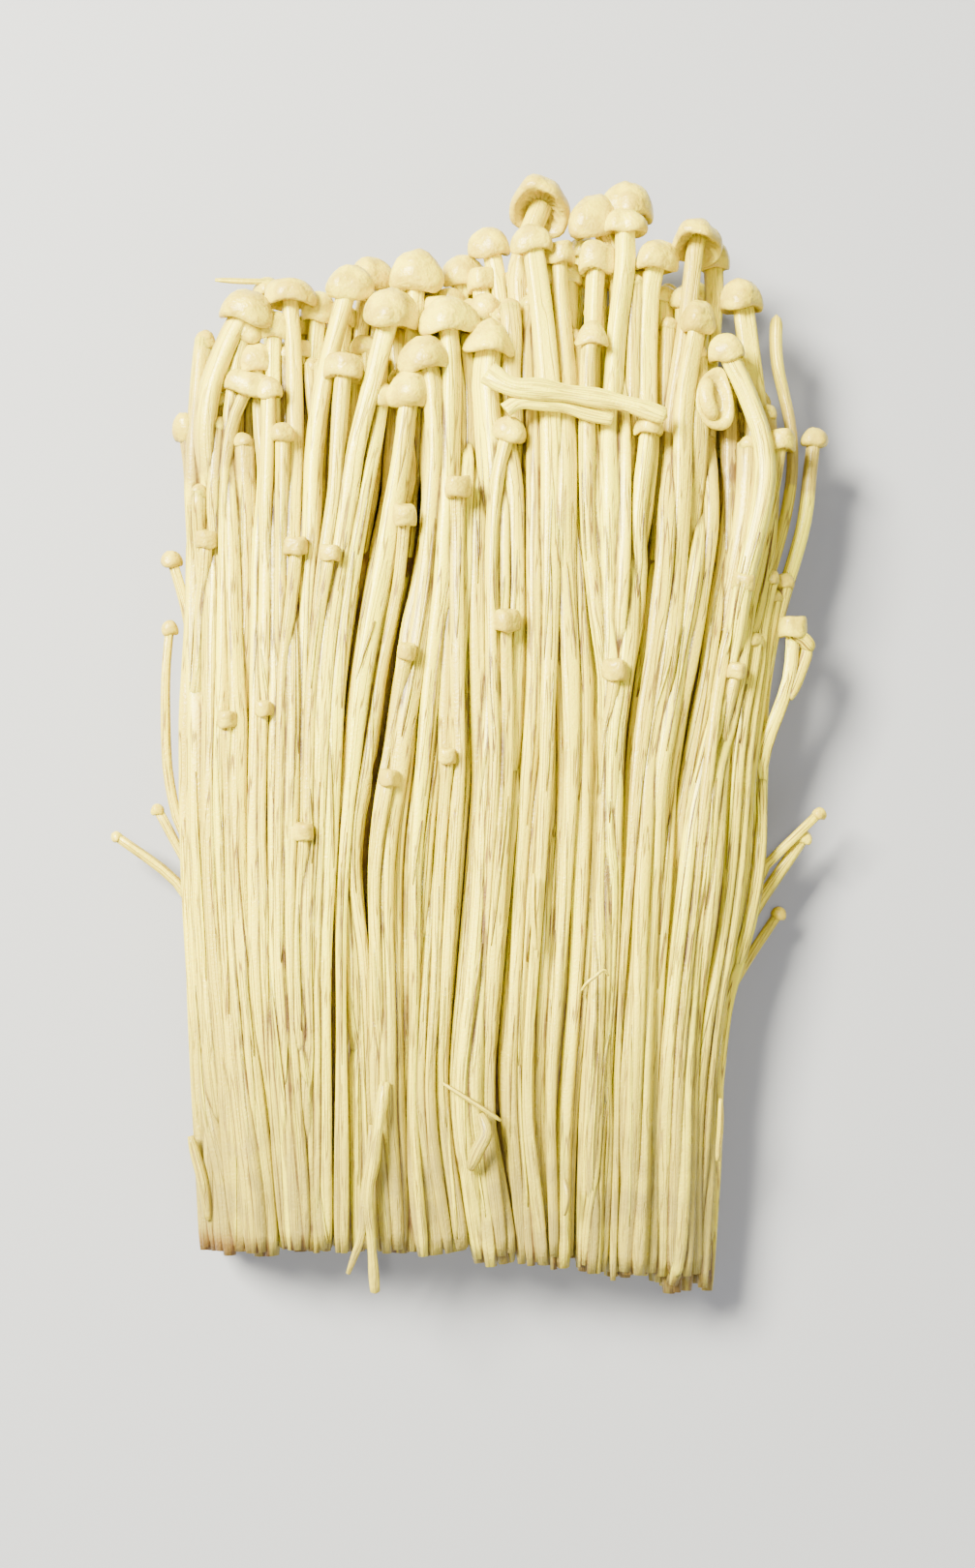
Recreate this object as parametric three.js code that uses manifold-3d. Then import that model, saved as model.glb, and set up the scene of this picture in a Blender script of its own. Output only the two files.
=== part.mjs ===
// A bunch of enoki mushrooms, cut off its growing block and lying on its side.
// Millimetres. The table is z = 0, the heads point to +Y and the cut foot to -Y.
// The stems have grown together into tufts that stand side by side. Each tuft is one
// solid: a grown-together core with its stems and caps standing out of it.
import * as THREE from 'three';
import * as BufferGeometryUtils from 'three/addons/utils/BufferGeometryUtils.js';
import Module from 'manifold-3d';

const wasm = await Module();
wasm.setup();

// Driving dimensions
const GAP = 0.3;
const RIB_DEPTH = 1.3;
const UNDER_DEPTH = 1.1;
const SIDE_RIBS = 2;
const SIDE_BOTTOM = 1.6;
const SIDE_TUCK = 2.2;
const CORE_BOTTOM = 1.1;
const CORE_ROWS = [-52, -36, -20, -4, 12, 23, 31];
const CORE_END = CORE_ROWS[CORE_ROWS.length - 1];
const HEAD_END_CLOSING = 0.72;
const RESTING_TUFT = 4;
const FLAT_SHARE = 0.1;
const CAP_SIDES = 6;
const LARGE_CAP_SIDES = 8;
const LARGE_CAP = 6.5;
const STEM_SIDES = 5;
const SEED = 29;

// Height of the bunch along its length, as [y, height]
const HEIGHT = [[-72, 14.5], [-58, 16.5], [-40, 18.5], [-10, 20], [20, 20], [40, 20.5]];
// How squarely the bunch's back rounds off to its sides
const BACK_POWER = 3.2;
const BACK_REACH = 0.97;

// Lines between the tufts from the left side to the right, each as [y, x] from the foot up
const PARTINGS = [
  [[-66, -37.9], [-61, -38.1], [-45, -39.5], [-36, -40.6], [-20, -41.6], [-9, -42.6], [2, -42.6],
    [8, -42.1], [21, -41.5], [34, -41.3], [47, -40.7]],
  [[-66, -26.5], [-54, -27.6], [-42, -29.5], [-30, -30.8], [-13, -31.6], [19, -31.3], [45, -31.4]],
  [[-66, -20.8], [-30, -20.9], [-18, -20.4], [4, -19.4], [12, -18.6], [22, -16.4], [27, -15.2],
    [34, -14.2], [42, -13.5]],
  [[-66, -15.4], [-30, -15.8], [-19, -16.8], [-12, -16.4], [-5, -15], [8, -13.4], [17, -11.4],
    [26, -10], [42, -9.5]],
  [[-66, -2.7], [-53, -5.3], [-45, -6.1], [-28, -4.5], [-6, -2.8], [12, -3.2], [27, -3], [42, -2.6]],
  [[-66, 2.6], [-49, -0.4], [-42, -0.4], [-30, 0.7], [-6, 2.8], [14, 3.6], [27, 4.1], [42, 3.8]],
  [[-66, 10.2], [-48, 10.6], [-30, 12.1], [-6, 13.2], [8, 13.2], [13, 12.2], [27, 10.6], [42, 10]],
  [[-67, 13.6], [-42, 14.6], [-18, 15.8], [-1, 16.4], [7, 17.6], [14, 18.9], [32, 20.6], [40, 21.4]],
  [[-68, 20], [-42, 20.5], [-24, 21.6], [-6, 23], [7, 26.3], [20, 28.5], [36, 29.7], [42, 29.2]],
  [[-71, 27.9], [-55, 28.9], [-45, 29.3], [-36, 30.4], [-31, 31.7], [-24, 34.2], [-17, 35.6],
    [-9, 35.4], [5, 36.1], [16, 37.9], [21, 39.8], [26, 41.6], [34, 42.6], [42, 41.2]],
];

// Where each tuft is cut off at the foot
const FOOT = [-66, -65.2, -65.2, -65.4, -66.4, -66.8, -67.2, -68.6, -70];

// The heads that stand free: tuft, middle of the cap [x, y, z], its width and length, the stem's
// diameter, and the stem's way down to where the tufts have grown together as [x, y]
const HEADS = [
  { tuft: 0, at: [-32.3, 55.9, 16], wide: 7.2, long: 4.6, stem: 2.8,
    way: [[-33.8, 54], [-37.4, 45], [-38.1, 36]] },
  { tuft: 0, at: [-33.5, 52.4, 9.5], wide: 5, long: 4, stem: 2.1, way: [[-34.2, 50], [-35, 40]] },
  { tuft: 0, at: [-31.9, 46.3, 15], wide: 6.3, long: 3.2, stem: 1.9,
    way: [[-33.6, 44.7], [-35.3, 35]] },
  { tuft: 0, at: [-38.1, 52.5, 14], wide: 2.7, long: 2.4, stem: 2.5,
    way: [[-38.2, 51], [-39.3, 47], [-39.4, 37]] },
  { tuft: 0, at: [-41.2, 41, 10], wide: 3.6, long: 2.6, stem: 1.5, way: [[-40.6, 39.6], [-39, 33]] },
  { tuft: 1, at: [-27.1, 58, 15], wide: 6.6, long: 3.8, stem: 2.5,
    way: [[-26.9, 56.1], [-26.5, 51.9], [-25.9, 35]] },
  { tuft: 1, at: [-23.4, 57.6, 9.5], wide: 5, long: 4.4, stem: 2.2, way: [[-23.8, 55.6], [-24.4, 38]] },
  { tuft: 1, at: [-18.9, 58.4, 17], wide: 6.2, long: 5.6, stem: 2.7,
    way: [[-19.6, 56.6], [-22.5, 44.7], [-23.7, 33]] },
  { tuft: 1, at: [-16.6, 62.4, 11], wide: 6, long: 4.6, stem: 2.3,
    way: [[-17.2, 60], [-19.3, 44], [-20.7, 36]] },
  { tuft: 1, at: [-13.4, 54.7, 18], wide: 8.2, long: 5.8, stem: 2.8,
    way: [[-14.2, 52], [-16, 44.4], [-18.4, 34]] },
  { tuft: 1, at: [-19.5, 46.8, 17.5], wide: 5.4, long: 3.2, stem: 2.4,
    way: [[-19.8, 45], [-20.4, 33.6]] },
  { tuft: 1, at: [-29.2, 54.2, 9], wide: 4.6, long: 3.8, stem: 1.9, way: [[-29.1, 52], [-28.9, 36.4]] },
  { tuft: 1, at: [-30.6, 49.9, 12], wide: 4.8, long: 4.2, stem: 1.9,
    way: [[-30.6, 47.6], [-30.4, 36]] },
  { tuft: 1, at: [-29.4, 44.7, 17], wide: 3.6, long: 3, stem: 2, way: [[-29.4, 43], [-29.4, 33]] },
  { tuft: 1, at: [-27.5, 38.5, 17.6], wide: 3.5, long: 2.8, stem: 1.9,
    way: [[-27.5, 37], [-27.4, 29]] },
  { tuft: 1, at: [-31, 61.9, 7], wide: 4.4, long: 3, stem: 1.8,
    way: [[-31, 60.4], [-30.4, 50.7], [-29.6, 39.9]] },
  { tuft: 1, at: [-14.7, 43.8, 17], wide: 4.3, long: 3.2, stem: 2, way: [[-14.9, 42.1], [-16, 34.4]] },
  { tuft: 2, at: [-10.5, 61.5, 13.5], wide: 7.2, long: 6.4, stem: 2.6,
    way: [[-10.7, 58.5], [-11.2, 43.4], [-11.7, 35.5]] },
  { tuft: 2, at: [-11, 44.2, 18], wide: 6, long: 5.4, stem: 2.7, way: [[-11.4, 41.1], [-12.2, 33]] },
  { tuft: 3, at: [-6.3, 54.2, 17.5], wide: 7.5, long: 5.2, stem: 2.8,
    way: [[-5.9, 51], [-5.8, 44.5], [-6.1, 35]] },
  { tuft: 3, at: [-9.2, 48.9, 18.4], wide: 6.8, long: 4.6, stem: 2.5, way: [[-8.2, 47], [-7.5, 35]] },
  { tuft: 3, at: [-4.4, 63.1, 10], wide: 5.9, long: 4.6, stem: 2.1, way: [[-4.5, 60.9], [-4.6, 41.7]] },
  { tuft: 4, at: [-2, 61, 6], wide: 5, long: 4, stem: 2.1, way: [[-1.9, 59], [-0.9, 41.3]] },
  { tuft: 4, at: [-0.9, 66, 13], wide: 5.8, long: 4, stem: 2.6,
    way: [[-0.2, 64], [1.1, 53.9], [1.4, 43.4]] },
  { tuft: 4, at: [-1.4, 57, 13.5], wide: 4.2, long: 3.4, stem: 2, way: [[-1.3, 55], [0, 39.3]] },
  { tuft: 4, at: [-0.7, 51.4, 17], wide: 7.2, long: 5.2, stem: 3.2,
    way: [[-1.4, 49.1], [-1.4, 44.7], [-0.6, 35]] },
  { tuft: 4, at: [1.8, 38.6, 18.6], wide: 4.6, long: 3.6, stem: 2,
    way: [[1.2, 36.9], [0.1, 33.2], [-0.3, 27.5]] },
  { tuft: 5, at: [6.3, 70.6, 14.5], wide: 8.4, long: 5.6, stem: 2.8,
    way: [[4.4, 66.6], [2.8, 62.6], [2.9, 58], [4.4, 51], [6.1, 39]] },
  { tuft: 5, at: [5.6, 65.2, 10.5], wide: 5.8, long: 4, stem: 2.8,
    way: [[5.6, 63], [6.6, 52.6], [8.2, 39.5]] },
  { tuft: 5, at: [9.4, 64.6, 13], wide: 5, long: 3.4, stem: 2.6,
    way: [[9, 62.6], [8.8, 52], [9, 42.7]] },
  { tuft: 5, at: [12, 67.6, 7], wide: 4.6, long: 3.2, stem: 2.1, way: [[11.4, 65.8], [10, 45.3]] },
  { tuft: 6, at: [13.2, 62.9, 13.5], wide: 5.6, long: 4.8, stem: 2.6,
    way: [[13.2, 60.6], [13.3, 45.8], [13.5, 39.3]] },
  { tuft: 6, at: [12.4, 52.5, 16.4], wide: 4.9, long: 4, stem: 2.1, way: [[12.1, 50.7], [11.9, 38.5]] },
  { tuft: 6, at: [13.4, 70.4, 15], wide: 6.6, long: 4.6, stem: 2.2, way: [[14.6, 68], [16.4, 60]] },
  { tuft: 6, at: [18.3, 70, 16], wide: 6.2, long: 4.6, stem: 2.7,
    way: [[17.4, 67], [16.8, 55], [15.1, 38.7]] },
  { tuft: 6, at: [21.3, 63.2, 15], wide: 6.1, long: 4.4, stem: 2.6,
    way: [[20.5, 61.1], [19.8, 54.5], [19.4, 38.9]] },
  { tuft: 6, at: [19.7, 39, 18.6], wide: 4, long: 2.6, stem: 2.1,
    way: [[19.6, 37.6], [18.9, 32.6], [18, 26.3]] },
  { tuft: 7, at: [26.6, 66.1, 16], wide: 8, long: 5.2, stem: 2.7,
    way: [[26.2, 63.6], [25.1, 54.1], [23.2, 42.4], [22.4, 35.3]] },
  { tuft: 7, at: [30.1, 65.4, 10.5], wide: 5, long: 4, stem: 2.3,
    way: [[29.6, 63.4], [28.8, 53.3], [27.6, 40]] },
  { tuft: 7, at: [26.4, 53.9, 17.5], wide: 5, long: 4.6, stem: 2.3,
    way: [[26, 51.6], [24.4, 43.9], [23.8, 36]] },
  { tuft: 7, at: [28.6, 44.6, 14], wide: 6.4, long: 3, stem: 2, upturned: true,
    way: [[28.4, 40.8], [27.2, 30]] },
  { tuft: 8, at: [32.5, 58.6, 13], wide: 6, long: 4.6, stem: 2.6,
    way: [[32.9, 56.6], [33.8, 47], [34.5, 40.8]] },
  { tuft: 8, at: [30.2, 50.2, 16.5], wide: 4.9, long: 3.8, stem: 2.5,
    way: [[30.9, 48.2], [33.8, 39.3], [34.4, 33.5], [32.8, 22.7]] },
  { tuft: 8, at: [37.5, 56.1, 12], wide: 2.2, long: 2.4, stem: 1.8,
    way: [[37.4, 54], [37.7, 46.3], [39.6, 37], [39, 29.3]] },
  { tuft: 8, at: [37.7, 38.8, 14], wide: 3.8, long: 2.8, stem: 1.9, way: [[37.4, 37.2], [35.7, 24.4]] },
  { tuft: 8, at: [42.9, 40.3, 9], wide: 3.8, long: 2.8, stem: 1.8,
    way: [[42.4, 38.6], [41.2, 30.1], [39.6, 22.2]] },
];

// Small caps that lie on the back of the bunch: tuft, [x, y], width and stem diameter
const SMALL_CAPS = [
  { tuft: 0, at: [-37.4, 25.6], wide: 2.4, stem: 1.6 },
  { tuft: 0, at: [-34.2, 1.4], wide: 2.7, stem: 1.5 },
  { tuft: 1, at: [-25.4, 23.2], wide: 3, stem: 1.7 },
  { tuft: 1, at: [-21, 22.2], wide: 2.6, stem: 1.6 },
  { tuft: 1, at: [-24, -13.2], wide: 2.6, stem: 1.6 },
  { tuft: 1, at: [-29.4, 2.5], wide: 2.4, stem: 1.3 },
  { tuft: 2, at: [-11.6, 27], wide: 3.2, stem: 1.6 },
  { tuft: 3, at: [-4.8, 30.6], wide: 3.4, stem: 1.8 },
  { tuft: 3, at: [-11.2, 9.4], wide: 2.5, stem: 1.6 },
  { tuft: 3, at: [-6.1, -3.8], wide: 2.4, stem: 1.5 },
  { tuft: 3, at: [-13.4, -6.5], wide: 2.6, stem: 1.7 },
  { tuft: 4, at: [1.4, 13.4], wide: 3.4, stem: 1.7 },
  { tuft: 6, at: [15, 7.2], wide: 3.2, stem: 1.8 },
  { tuft: 8, at: [31.8, 19.1], wide: 2.9, stem: 1.6 },
  { tuft: 8, at: [30.8, 7.7], wide: 2.5, stem: 1.6 },
];

// Thin strays that stick out of the bunch's two sides, ending in a pin head or bare
const STRAYS = [
  { tuft: 0, at: [-43.2, 24.1, 8], wide: 2.4, long: 2, stem: 1.3, way: [[-42.8, 22.6], [-40.2, 15]] },
  { tuft: 0, at: [-43.4, 15, 7], wide: 2.4, long: 2, stem: 1.3,
    way: [[-43.6, 13.4], [-43.4, 8], [-41, 1.5]] },
  { tuft: 0, at: [-44.8, -9.2, 6], wide: 1.8, long: 1.6, stem: 1.2,
    way: [[-44.2, -10.4], [-40.4, -17]] },
  { tuft: 0, at: [-50.2, -12.8, 6], wide: 1.5, long: 1.4, stem: 1.3,
    way: [[-49, -13.6], [-44, -16.8], [-38.6, -22]] },
  { tuft: 8, at: [39.9, 13.8, 11], wide: 4.7, long: 3.2, stem: 1.9,
    way: [[39, 11.7], [37, 6.3], [34.4, -2]] },
  { tuft: 8, at: [42.6, -9.9, 8], wide: 1.8, long: 1.6, stem: 1.1, way: [[41.6, -11.4], [35, -16.6]] },
  { tuft: 8, at: [40.7, -13, 7], wide: 2.1, long: 1.8, stem: 1.5, way: [[39.8, -14.4], [32.4, -24.6]] },
  { tuft: 8, at: [37.5, -22.9, 5], wide: 2.1, long: 1.8, stem: 1.4, way: [[36.7, -23.9], [31, -32.6]] },
];

// How many ribs each tuft shows along its back, and one rib's outline: the share of its width
// and how deep the surface lies there
const RIB_COUNT = [4, 4, 3, 5, 2, 3, 2, 3, 4];
const RIB_PROFILE = [{ place: 0, depth: 1 }, { place: 0.26, depth: 0.12 }, { place: 0.74, depth: 0.12 }];
const RIB_RISE = [-0.2, 0.7];
const FOOT_RAGGED = [-0.6, 0.5];
const END_RAGGED = [-3, 3];

// How many mushrooms each tuft holds beneath the heads that show, by layer
const MIDDLE_COUNT = [1, 0, 1, 2, 1, 1, 1, 1, 2];
const UNDER_COUNT = [2, 3, 1, 2, 1, 1, 1, 1, 2];

// Loose stems without caps that lie across or along the bunch, as [x, y, z]
const LOOSE_STEMS = [
  { name: 'loose_stem_across_upper', diameter: 2.5,
    way: [[-0.9, 46.4, 20.6], [1, 44.8, 21.2], [5.9, 44.3, 20.6], [13.4, 43.2, 20.4],
      [18.3, 41.9, 20.4], [22.6, 41, 20.8]] },
  { name: 'loose_stem_across_lower', diameter: 2.3,
    way: [[4.3, 40.6, 20], [8, 41.2, 19.8], [12, 40.2, 19.6], [16.4, 39.6, 19.6]] },
  { name: 'loose_stem_foot', diameter: 1.6,
    way: [[-13.6, -42, 20.2], [-14.5, -51.4, 18.9], [-15.2, -56.1, 18.2], [-14.9, -63, 17.2],
      [-14.8, -70, 16.4]] },
];

const FRESH = { color: 0xf4ead0, roughness: 0.42, metalness: 0 };
const SHADED = { color: 0xe6dab2, roughness: 0.45, metalness: 0 };

// A repeatable stream of numbers from 0 to 1
function stream(seed) {
  let state = seed;
  return () => {
    state = (state + 0x6d2b79f5) | 0;
    let mixed = Math.imul(state ^ (state >>> 15), 1 | state);
    mixed = (mixed + Math.imul(mixed ^ (mixed >>> 7), 61 | mixed)) ^ mixed;
    return ((mixed ^ (mixed >>> 14)) >>> 0) / 4294967296;
  };
}

// The value at a place along a list of [place, value]
function along(list, place) {
  let i = 1;
  while (i < list.length - 1 && list[i][0] < place) {
    i += 1;
  }
  const [before, start] = list[i - 1];
  const [after, end] = list[i];
  const share = THREE.MathUtils.clamp((place - before) / (after - before), 0, 1);
  return THREE.MathUtils.lerp(start, end, share);
}

// The top of the bunch over a place on the table
function back(x, y) {
  const left = along(PARTINGS[0], y);
  const right = along(PARTINGS[PARTINGS.length - 1], y);
  const off = Math.min(Math.abs((2 * x - left - right) / (right - left)) * BACK_REACH, BACK_REACH);
  return along(HEIGHT, y) * (1 - off ** BACK_POWER) ** (1 / BACK_POWER);
}

// A place across a tuft, from its left side at 0 to its right side at 1, clear of its neighbours
function across(tuft, share, y, margin) {
  const left = along(PARTINGS[tuft], y) + GAP / 2 + margin;
  const right = along(PARTINGS[tuft + 1], y) - GAP / 2 - margin;
  return THREE.MathUtils.lerp(left, Math.max(left, right), share);
}

// How far across its tuft a place lies
function shareOf(tuft, x, y, margin) {
  const left = along(PARTINGS[tuft], y) + GAP / 2 + margin;
  const right = along(PARTINGS[tuft + 1], y) - GAP / 2 - margin;
  return THREE.MathUtils.clamp((x - left) / Math.max(right - left, 0.01), 0, 1);
}

// A closed geometry as a solid that can be joined and cut
function solid(geometry) {
  geometry.deleteAttribute('normal');
  geometry.deleteAttribute('uv');
  const merged = BufferGeometryUtils.mergeVertices(geometry, 1e-4);
  const index = merged.index.array;
  const kept = [];
  for (let i = 0; i < index.length; i += 3) {
    const [a, b, c] = [index[i], index[i + 1], index[i + 2]];
    if (a !== b && b !== c && c !== a) {
      kept.push(a, b, c);
    }
  }
  const vertProperties = new Float32Array(merged.attributes.position.array);
  return new wasm.Manifold(new wasm.Mesh({ numProp: 3, vertProperties, triVerts: new Uint32Array(kept) }));
}

// A stem along a curve, with few sides
function stemSolid(points, diameter, steps) {
  const section = new THREE.Shape();
  for (let i = 0; i < STEM_SIDES; i += 1) {
    const angle = (2 * Math.PI * i) / STEM_SIDES;
    const x = (diameter / 2) * Math.cos(angle);
    const y = (diameter / 2) * Math.sin(angle);
    if (i === 0) {
      section.moveTo(x, y);
    } else {
      section.lineTo(x, y);
    }
  }
  section.closePath();
  const extrudePath = new THREE.CatmullRomCurve3(points, false, 'centripetal');
  return solid(new THREE.ExtrudeGeometry(section, { steps, extrudePath, bevelEnabled: false }));
}

// A cap: a dome with a drawn-in rim over a flat underside, its axis along the stem
function capSolid(middle, axis, wide, long) {
  const radius = wide / 2;
  const profile = [
    new THREE.Vector2(0, -0.5 * long),
    new THREE.Vector2(0.86 * radius, -0.5 * long),
    new THREE.Vector2(radius, -0.16 * long),
    new THREE.Vector2(0.66 * radius, 0.34 * long),
    new THREE.Vector2(0, 0.5 * long),
  ];
  const geometry = new THREE.LatheGeometry(profile, wide > LARGE_CAP ? LARGE_CAP_SIDES : CAP_SIDES);
  const turn = new THREE.Quaternion().setFromUnitVectors(new THREE.Vector3(0, 1, 0), axis);
  geometry.applyQuaternion(turn);
  geometry.translate(middle.x, middle.y, middle.z);
  return solid(geometry);
}

// One mushroom: stem points from the cap down, and the same shape grown by the gap
function mushroom(tuft, middle, axis, cap, points, stem, steps) {
  const grown = 2 * GAP;
  const shape = stemSolid(points, stem, steps);
  const space = stemSolid(points, stem + grown, steps);
  if (!cap) {
    return { tuft, rank: middle.z, shape, space };
  }
  return {
    tuft,
    rank: middle.z,
    shape: shape.add(capSolid(middle, axis, cap.wide, cap.long)),
    space: space.add(capSolid(middle, axis, cap.wide + grown, cap.long + grown)),
  };
}

const CAP_LIFT = 0.16;
const UPTURNED = new THREE.Vector3(0.1, -0.2, -1);
const TUFT_REGION = 34;
const BACK_ROOT_Y = 22;
const LEAST_RUN = 7;
const SINK = 2;
const SURFACE_RANK = 14;
const HIDDEN_WIDTH = [4.6, 6.2];
const HIDDEN_STEM = [1.9, 2.5];
const HIDDEN_REACH = [44, 57];
const MIDDLE_LAYER = [6.5, 9];
const PRESSED = 0.05;
const ROOT_Y = 25;

// A head's stem: free from the cap down, then along the back of its tuft, or into the core
function headMushroom(head) {
  const middle = new THREE.Vector3(...head.at);
  const first = head.way[0];
  const axis = new THREE.Vector3(middle.x - first[0], middle.y - first[1], 0).normalize();
  axis.z = CAP_LIFT;
  if (head.upturned) {
    axis.copy(UPTURNED);
  }
  axis.normalize();
  const radius = head.stem / 2;
  const onBack = middle.z >= SURFACE_RANK;
  const points = [middle.clone()];
  for (const [x, y] of head.way) {
    const placed = y < TUFT_REGION ? across(head.tuft, shareOf(head.tuft, x, y, radius), y, radius) : x;
    const settle = THREE.MathUtils.smoothstep(middle.y - y, 0, middle.y - TUFT_REGION + 1);
    const low = onBack ? THREE.MathUtils.lerp(middle.z, back(placed, y) - radius, settle) : middle.z;
    points.push(new THREE.Vector3(placed, y, low));
  }
  const [lastX, lastY] = head.way[head.way.length - 1];
  const share = shareOf(head.tuft, lastX, Math.min(lastY, TUFT_REGION), radius);
  const rootY = Math.min(onBack ? BACK_ROOT_Y : ROOT_Y, lastY - LEAST_RUN);
  const rootX = across(head.tuft, share, rootY, radius);
  points.push(new THREE.Vector3(rootX, rootY, onBack ? back(rootX, rootY) - radius - SINK : middle.z));
  return mushroom(head.tuft, middle, axis, head, points, head.stem, points.length - 1);
}

const SMALL_RUN = 9;
const SMALL_LIFT = 0.2;
const STEM_LIFT = 0.3;
const STRAY_ROOT = { in: 2.5, down: 5 };

// A small cap on the back of the bunch, its stem running down among the others
function smallMushroom({ tuft, at, wide, stem }) {
  const [x, y] = at;
  const radius = stem / 2;
  const share = shareOf(tuft, x, y, wide / 2);
  const placed = across(tuft, share, y, wide / 2);
  const middle = new THREE.Vector3(placed, y, back(placed, y) + SMALL_LIFT);
  const points = [middle.clone()];
  for (const part of [0.5, 1]) {
    const down = y - SMALL_RUN * part;
    const beside = across(tuft, share, down, radius);
    const sunk = part === 1 ? SINK : 0;
    points.push(new THREE.Vector3(beside, down, back(beside, down) - radius + STEM_LIFT - sunk));
  }
  const axis = new THREE.Vector3(0, 1, CAP_LIFT).normalize();
  return mushroom(tuft, middle, axis, { wide, long: 0.85 * wide }, points, stem, 2);
}

// A stray at the side: it leaves its tuft low down and ends in the open
function strayMushroom(stray) {
  const middle = new THREE.Vector3(...stray.at);
  const points = [middle.clone()];
  stray.way.forEach(([x, y]) => points.push(new THREE.Vector3(x, y, middle.z)));
  const [endX, endY] = stray.way[stray.way.length - 1];
  const inward = stray.tuft === 0 ? STRAY_ROOT.in : -STRAY_ROOT.in;
  points.push(new THREE.Vector3(endX + inward, endY - STRAY_ROOT.down, middle.z));
  const [firstX, firstY] = stray.way[0];
  const axis = new THREE.Vector3(middle.x - firstX, middle.y - firstY, 0).normalize();
  return mushroom(stray.tuft, middle, axis, stray, points, stray.stem, points.length);
}

// A mushroom that shows only from the head end or from below: its stem leaves the head end of
// the core at a share across the tuft, and its head lies beneath the ones that show
function hiddenMushroom(tuft, share, layer, random) {
  const wide = THREE.MathUtils.lerp(...HIDDEN_WIDTH, random());
  const stem = THREE.MathUtils.lerp(...HIDDEN_STEM, random());
  const y = THREE.MathUtils.lerp(...HIDDEN_REACH, random());
  const x = across(tuft, share, CORE_END, wide / 2) + THREE.MathUtils.lerp(-1, 1, random());
  const z = layer === 'under' ? wide / 2 - PRESSED : THREE.MathUtils.lerp(...MIDDLE_LAYER, random());
  const middle = new THREE.Vector3(x, y, z);
  const rootX = across(tuft, share, ROOT_Y, stem / 2);
  const rootZ = layer === 'under' ? CORE_BOTTOM + stem / 2 : z;
  const points = [middle, new THREE.Vector3(rootX, CORE_END, rootZ), new THREE.Vector3(rootX, ROOT_Y, rootZ)];
  const axis = new THREE.Vector3(x - rootX, y - CORE_END, 0).normalize();
  return mushroom(tuft, middle, axis, { wide, long: 0.72 * wide }, points, stem, 2);
}

// The grown-together core of a tuft: a block between its two partings whose back, underside
// and open side are raised in ribs, one for each stem
function coreSolid(tuft, random) {
  const ribs = RIB_COUNT[tuft];
  const side = { [0]: 0, [PARTINGS.length - 2]: 1 }[tuft];
  const layers = side === undefined ? 1 : SIDE_RIBS * RIB_PROFILE.length;
  const rises = Array.from({ length: ribs + 1 }, () => THREE.MathUtils.lerp(...RIB_RISE, random()));
  const feet = Array.from({ length: ribs + 1 }, () => THREE.MathUtils.lerp(...FOOT_RAGGED, random()));
  const ends = Array.from({ length: ribs + 1 }, () => THREE.MathUtils.lerp(...END_RAGGED, random()));
  const geometry = new THREE.BoxGeometry(1, 1, 1, ribs * RIB_PROFILE.length, CORE_ROWS.length, layers);
  const position = geometry.attributes.position;
  for (let i = 0; i < position.count; i += 1) {
    const column = Math.round((position.getX(i) + 0.5) * ribs * RIB_PROFILE.length);
    const row = Math.round((position.getY(i) + 0.5) * CORE_ROWS.length);
    const layer = Math.round((position.getZ(i) + 0.5) * layers);
    const rib = Math.floor(column / RIB_PROFILE.length);
    const { place, depth } = RIB_PROFILE[column % RIB_PROFILE.length];
    const share = (rib + place) / ribs;
    const last = row === CORE_ROWS.length;
    const y = row === 0 ? FOOT[tuft] + feet[rib] : CORE_ROWS[row - 1] + (last ? ends[rib] : 0);
    let x = across(tuft, share, y, 0);
    const closing = last ? HEAD_END_CLOSING : 1;
    const top = closing * (back(x, y) - rises[rib] - depth * RIB_DEPTH);
    const pressedFlat = tuft === RESTING_TUFT && share > FLAT_SHARE && share < 1 - FLAT_SHARE;
    const bottom = pressedFlat ? 0 : depth * UNDER_DEPTH;
    let z = THREE.MathUtils.lerp(bottom, top, layer / layers);
    if (share === side) {
      const { place: height, depth: inset } = RIB_PROFILE[layer % RIB_PROFILE.length];
      const level = (Math.floor(layer / RIB_PROFILE.length) + height) / SIDE_RIBS;
      z = THREE.MathUtils.lerp(SIDE_BOTTOM, top, level);
      const tuck = layer === 0 ? SIDE_TUCK : inset * RIB_DEPTH;
      x += (side === 0 ? 1 : -1) * tuck;
    }
    position.setXYZ(i, x, y, z);
  }
  return solid(geometry);
}

// Everything of a tuft, before it is kept clear of its neighbours
function growTuft(tuft) {
  const random = stream(SEED + 101 * tuft);
  const ofTuft = (item) => item.tuft === tuft;
  const grown = [
    ...HEADS.filter(ofTuft).map(headMushroom),
    ...SMALL_CAPS.filter(ofTuft).map(smallMushroom),
    ...STRAYS.filter(ofTuft).map(strayMushroom),
  ];
  const spread = (count, layer) => {
    for (let i = 0; i < count; i += 1) {
      const share = (i + 0.5 + 0.5 * (random() - 0.5)) / count;
      grown.push(hiddenMushroom(tuft, share, layer, random));
    }
  };
  spread(MIDDLE_COUNT[tuft], 'middle');
  spread(UNDER_COUNT[tuft], 'under');
  return grown;
}

function looseStem({ name, diameter, way }, number) {
  const points = way.map((place) => new THREE.Vector3(...place));
  const tuft = FOOT.length + number;
  return { name, ...mushroom(tuft, points[0], null, null, points, diameter, 2 * way.length), rank: 100 };
}

function boxesMeet(a, b) {
  return [0, 1, 2].every((k) => a.min[k] < b.max[k] && b.min[k] < a.max[k]);
}

// Cuts away what would run into a higher mushroom of another tuft
function clearOfOthers(shape, tuft, rank, others) {
  const box = shape.boundingBox();
  return others
    .filter((other) => other.tuft !== tuft && other.rank > rank && boxesMeet(box, other.box))
    .reduce((left, other) => left.subtract(other.space), shape);
}

function largestBody(shape) {
  const bodies = shape.decompose();
  return bodies.reduce((best, body) => (body.volume() > best.volume() ? body : best));
}

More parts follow.
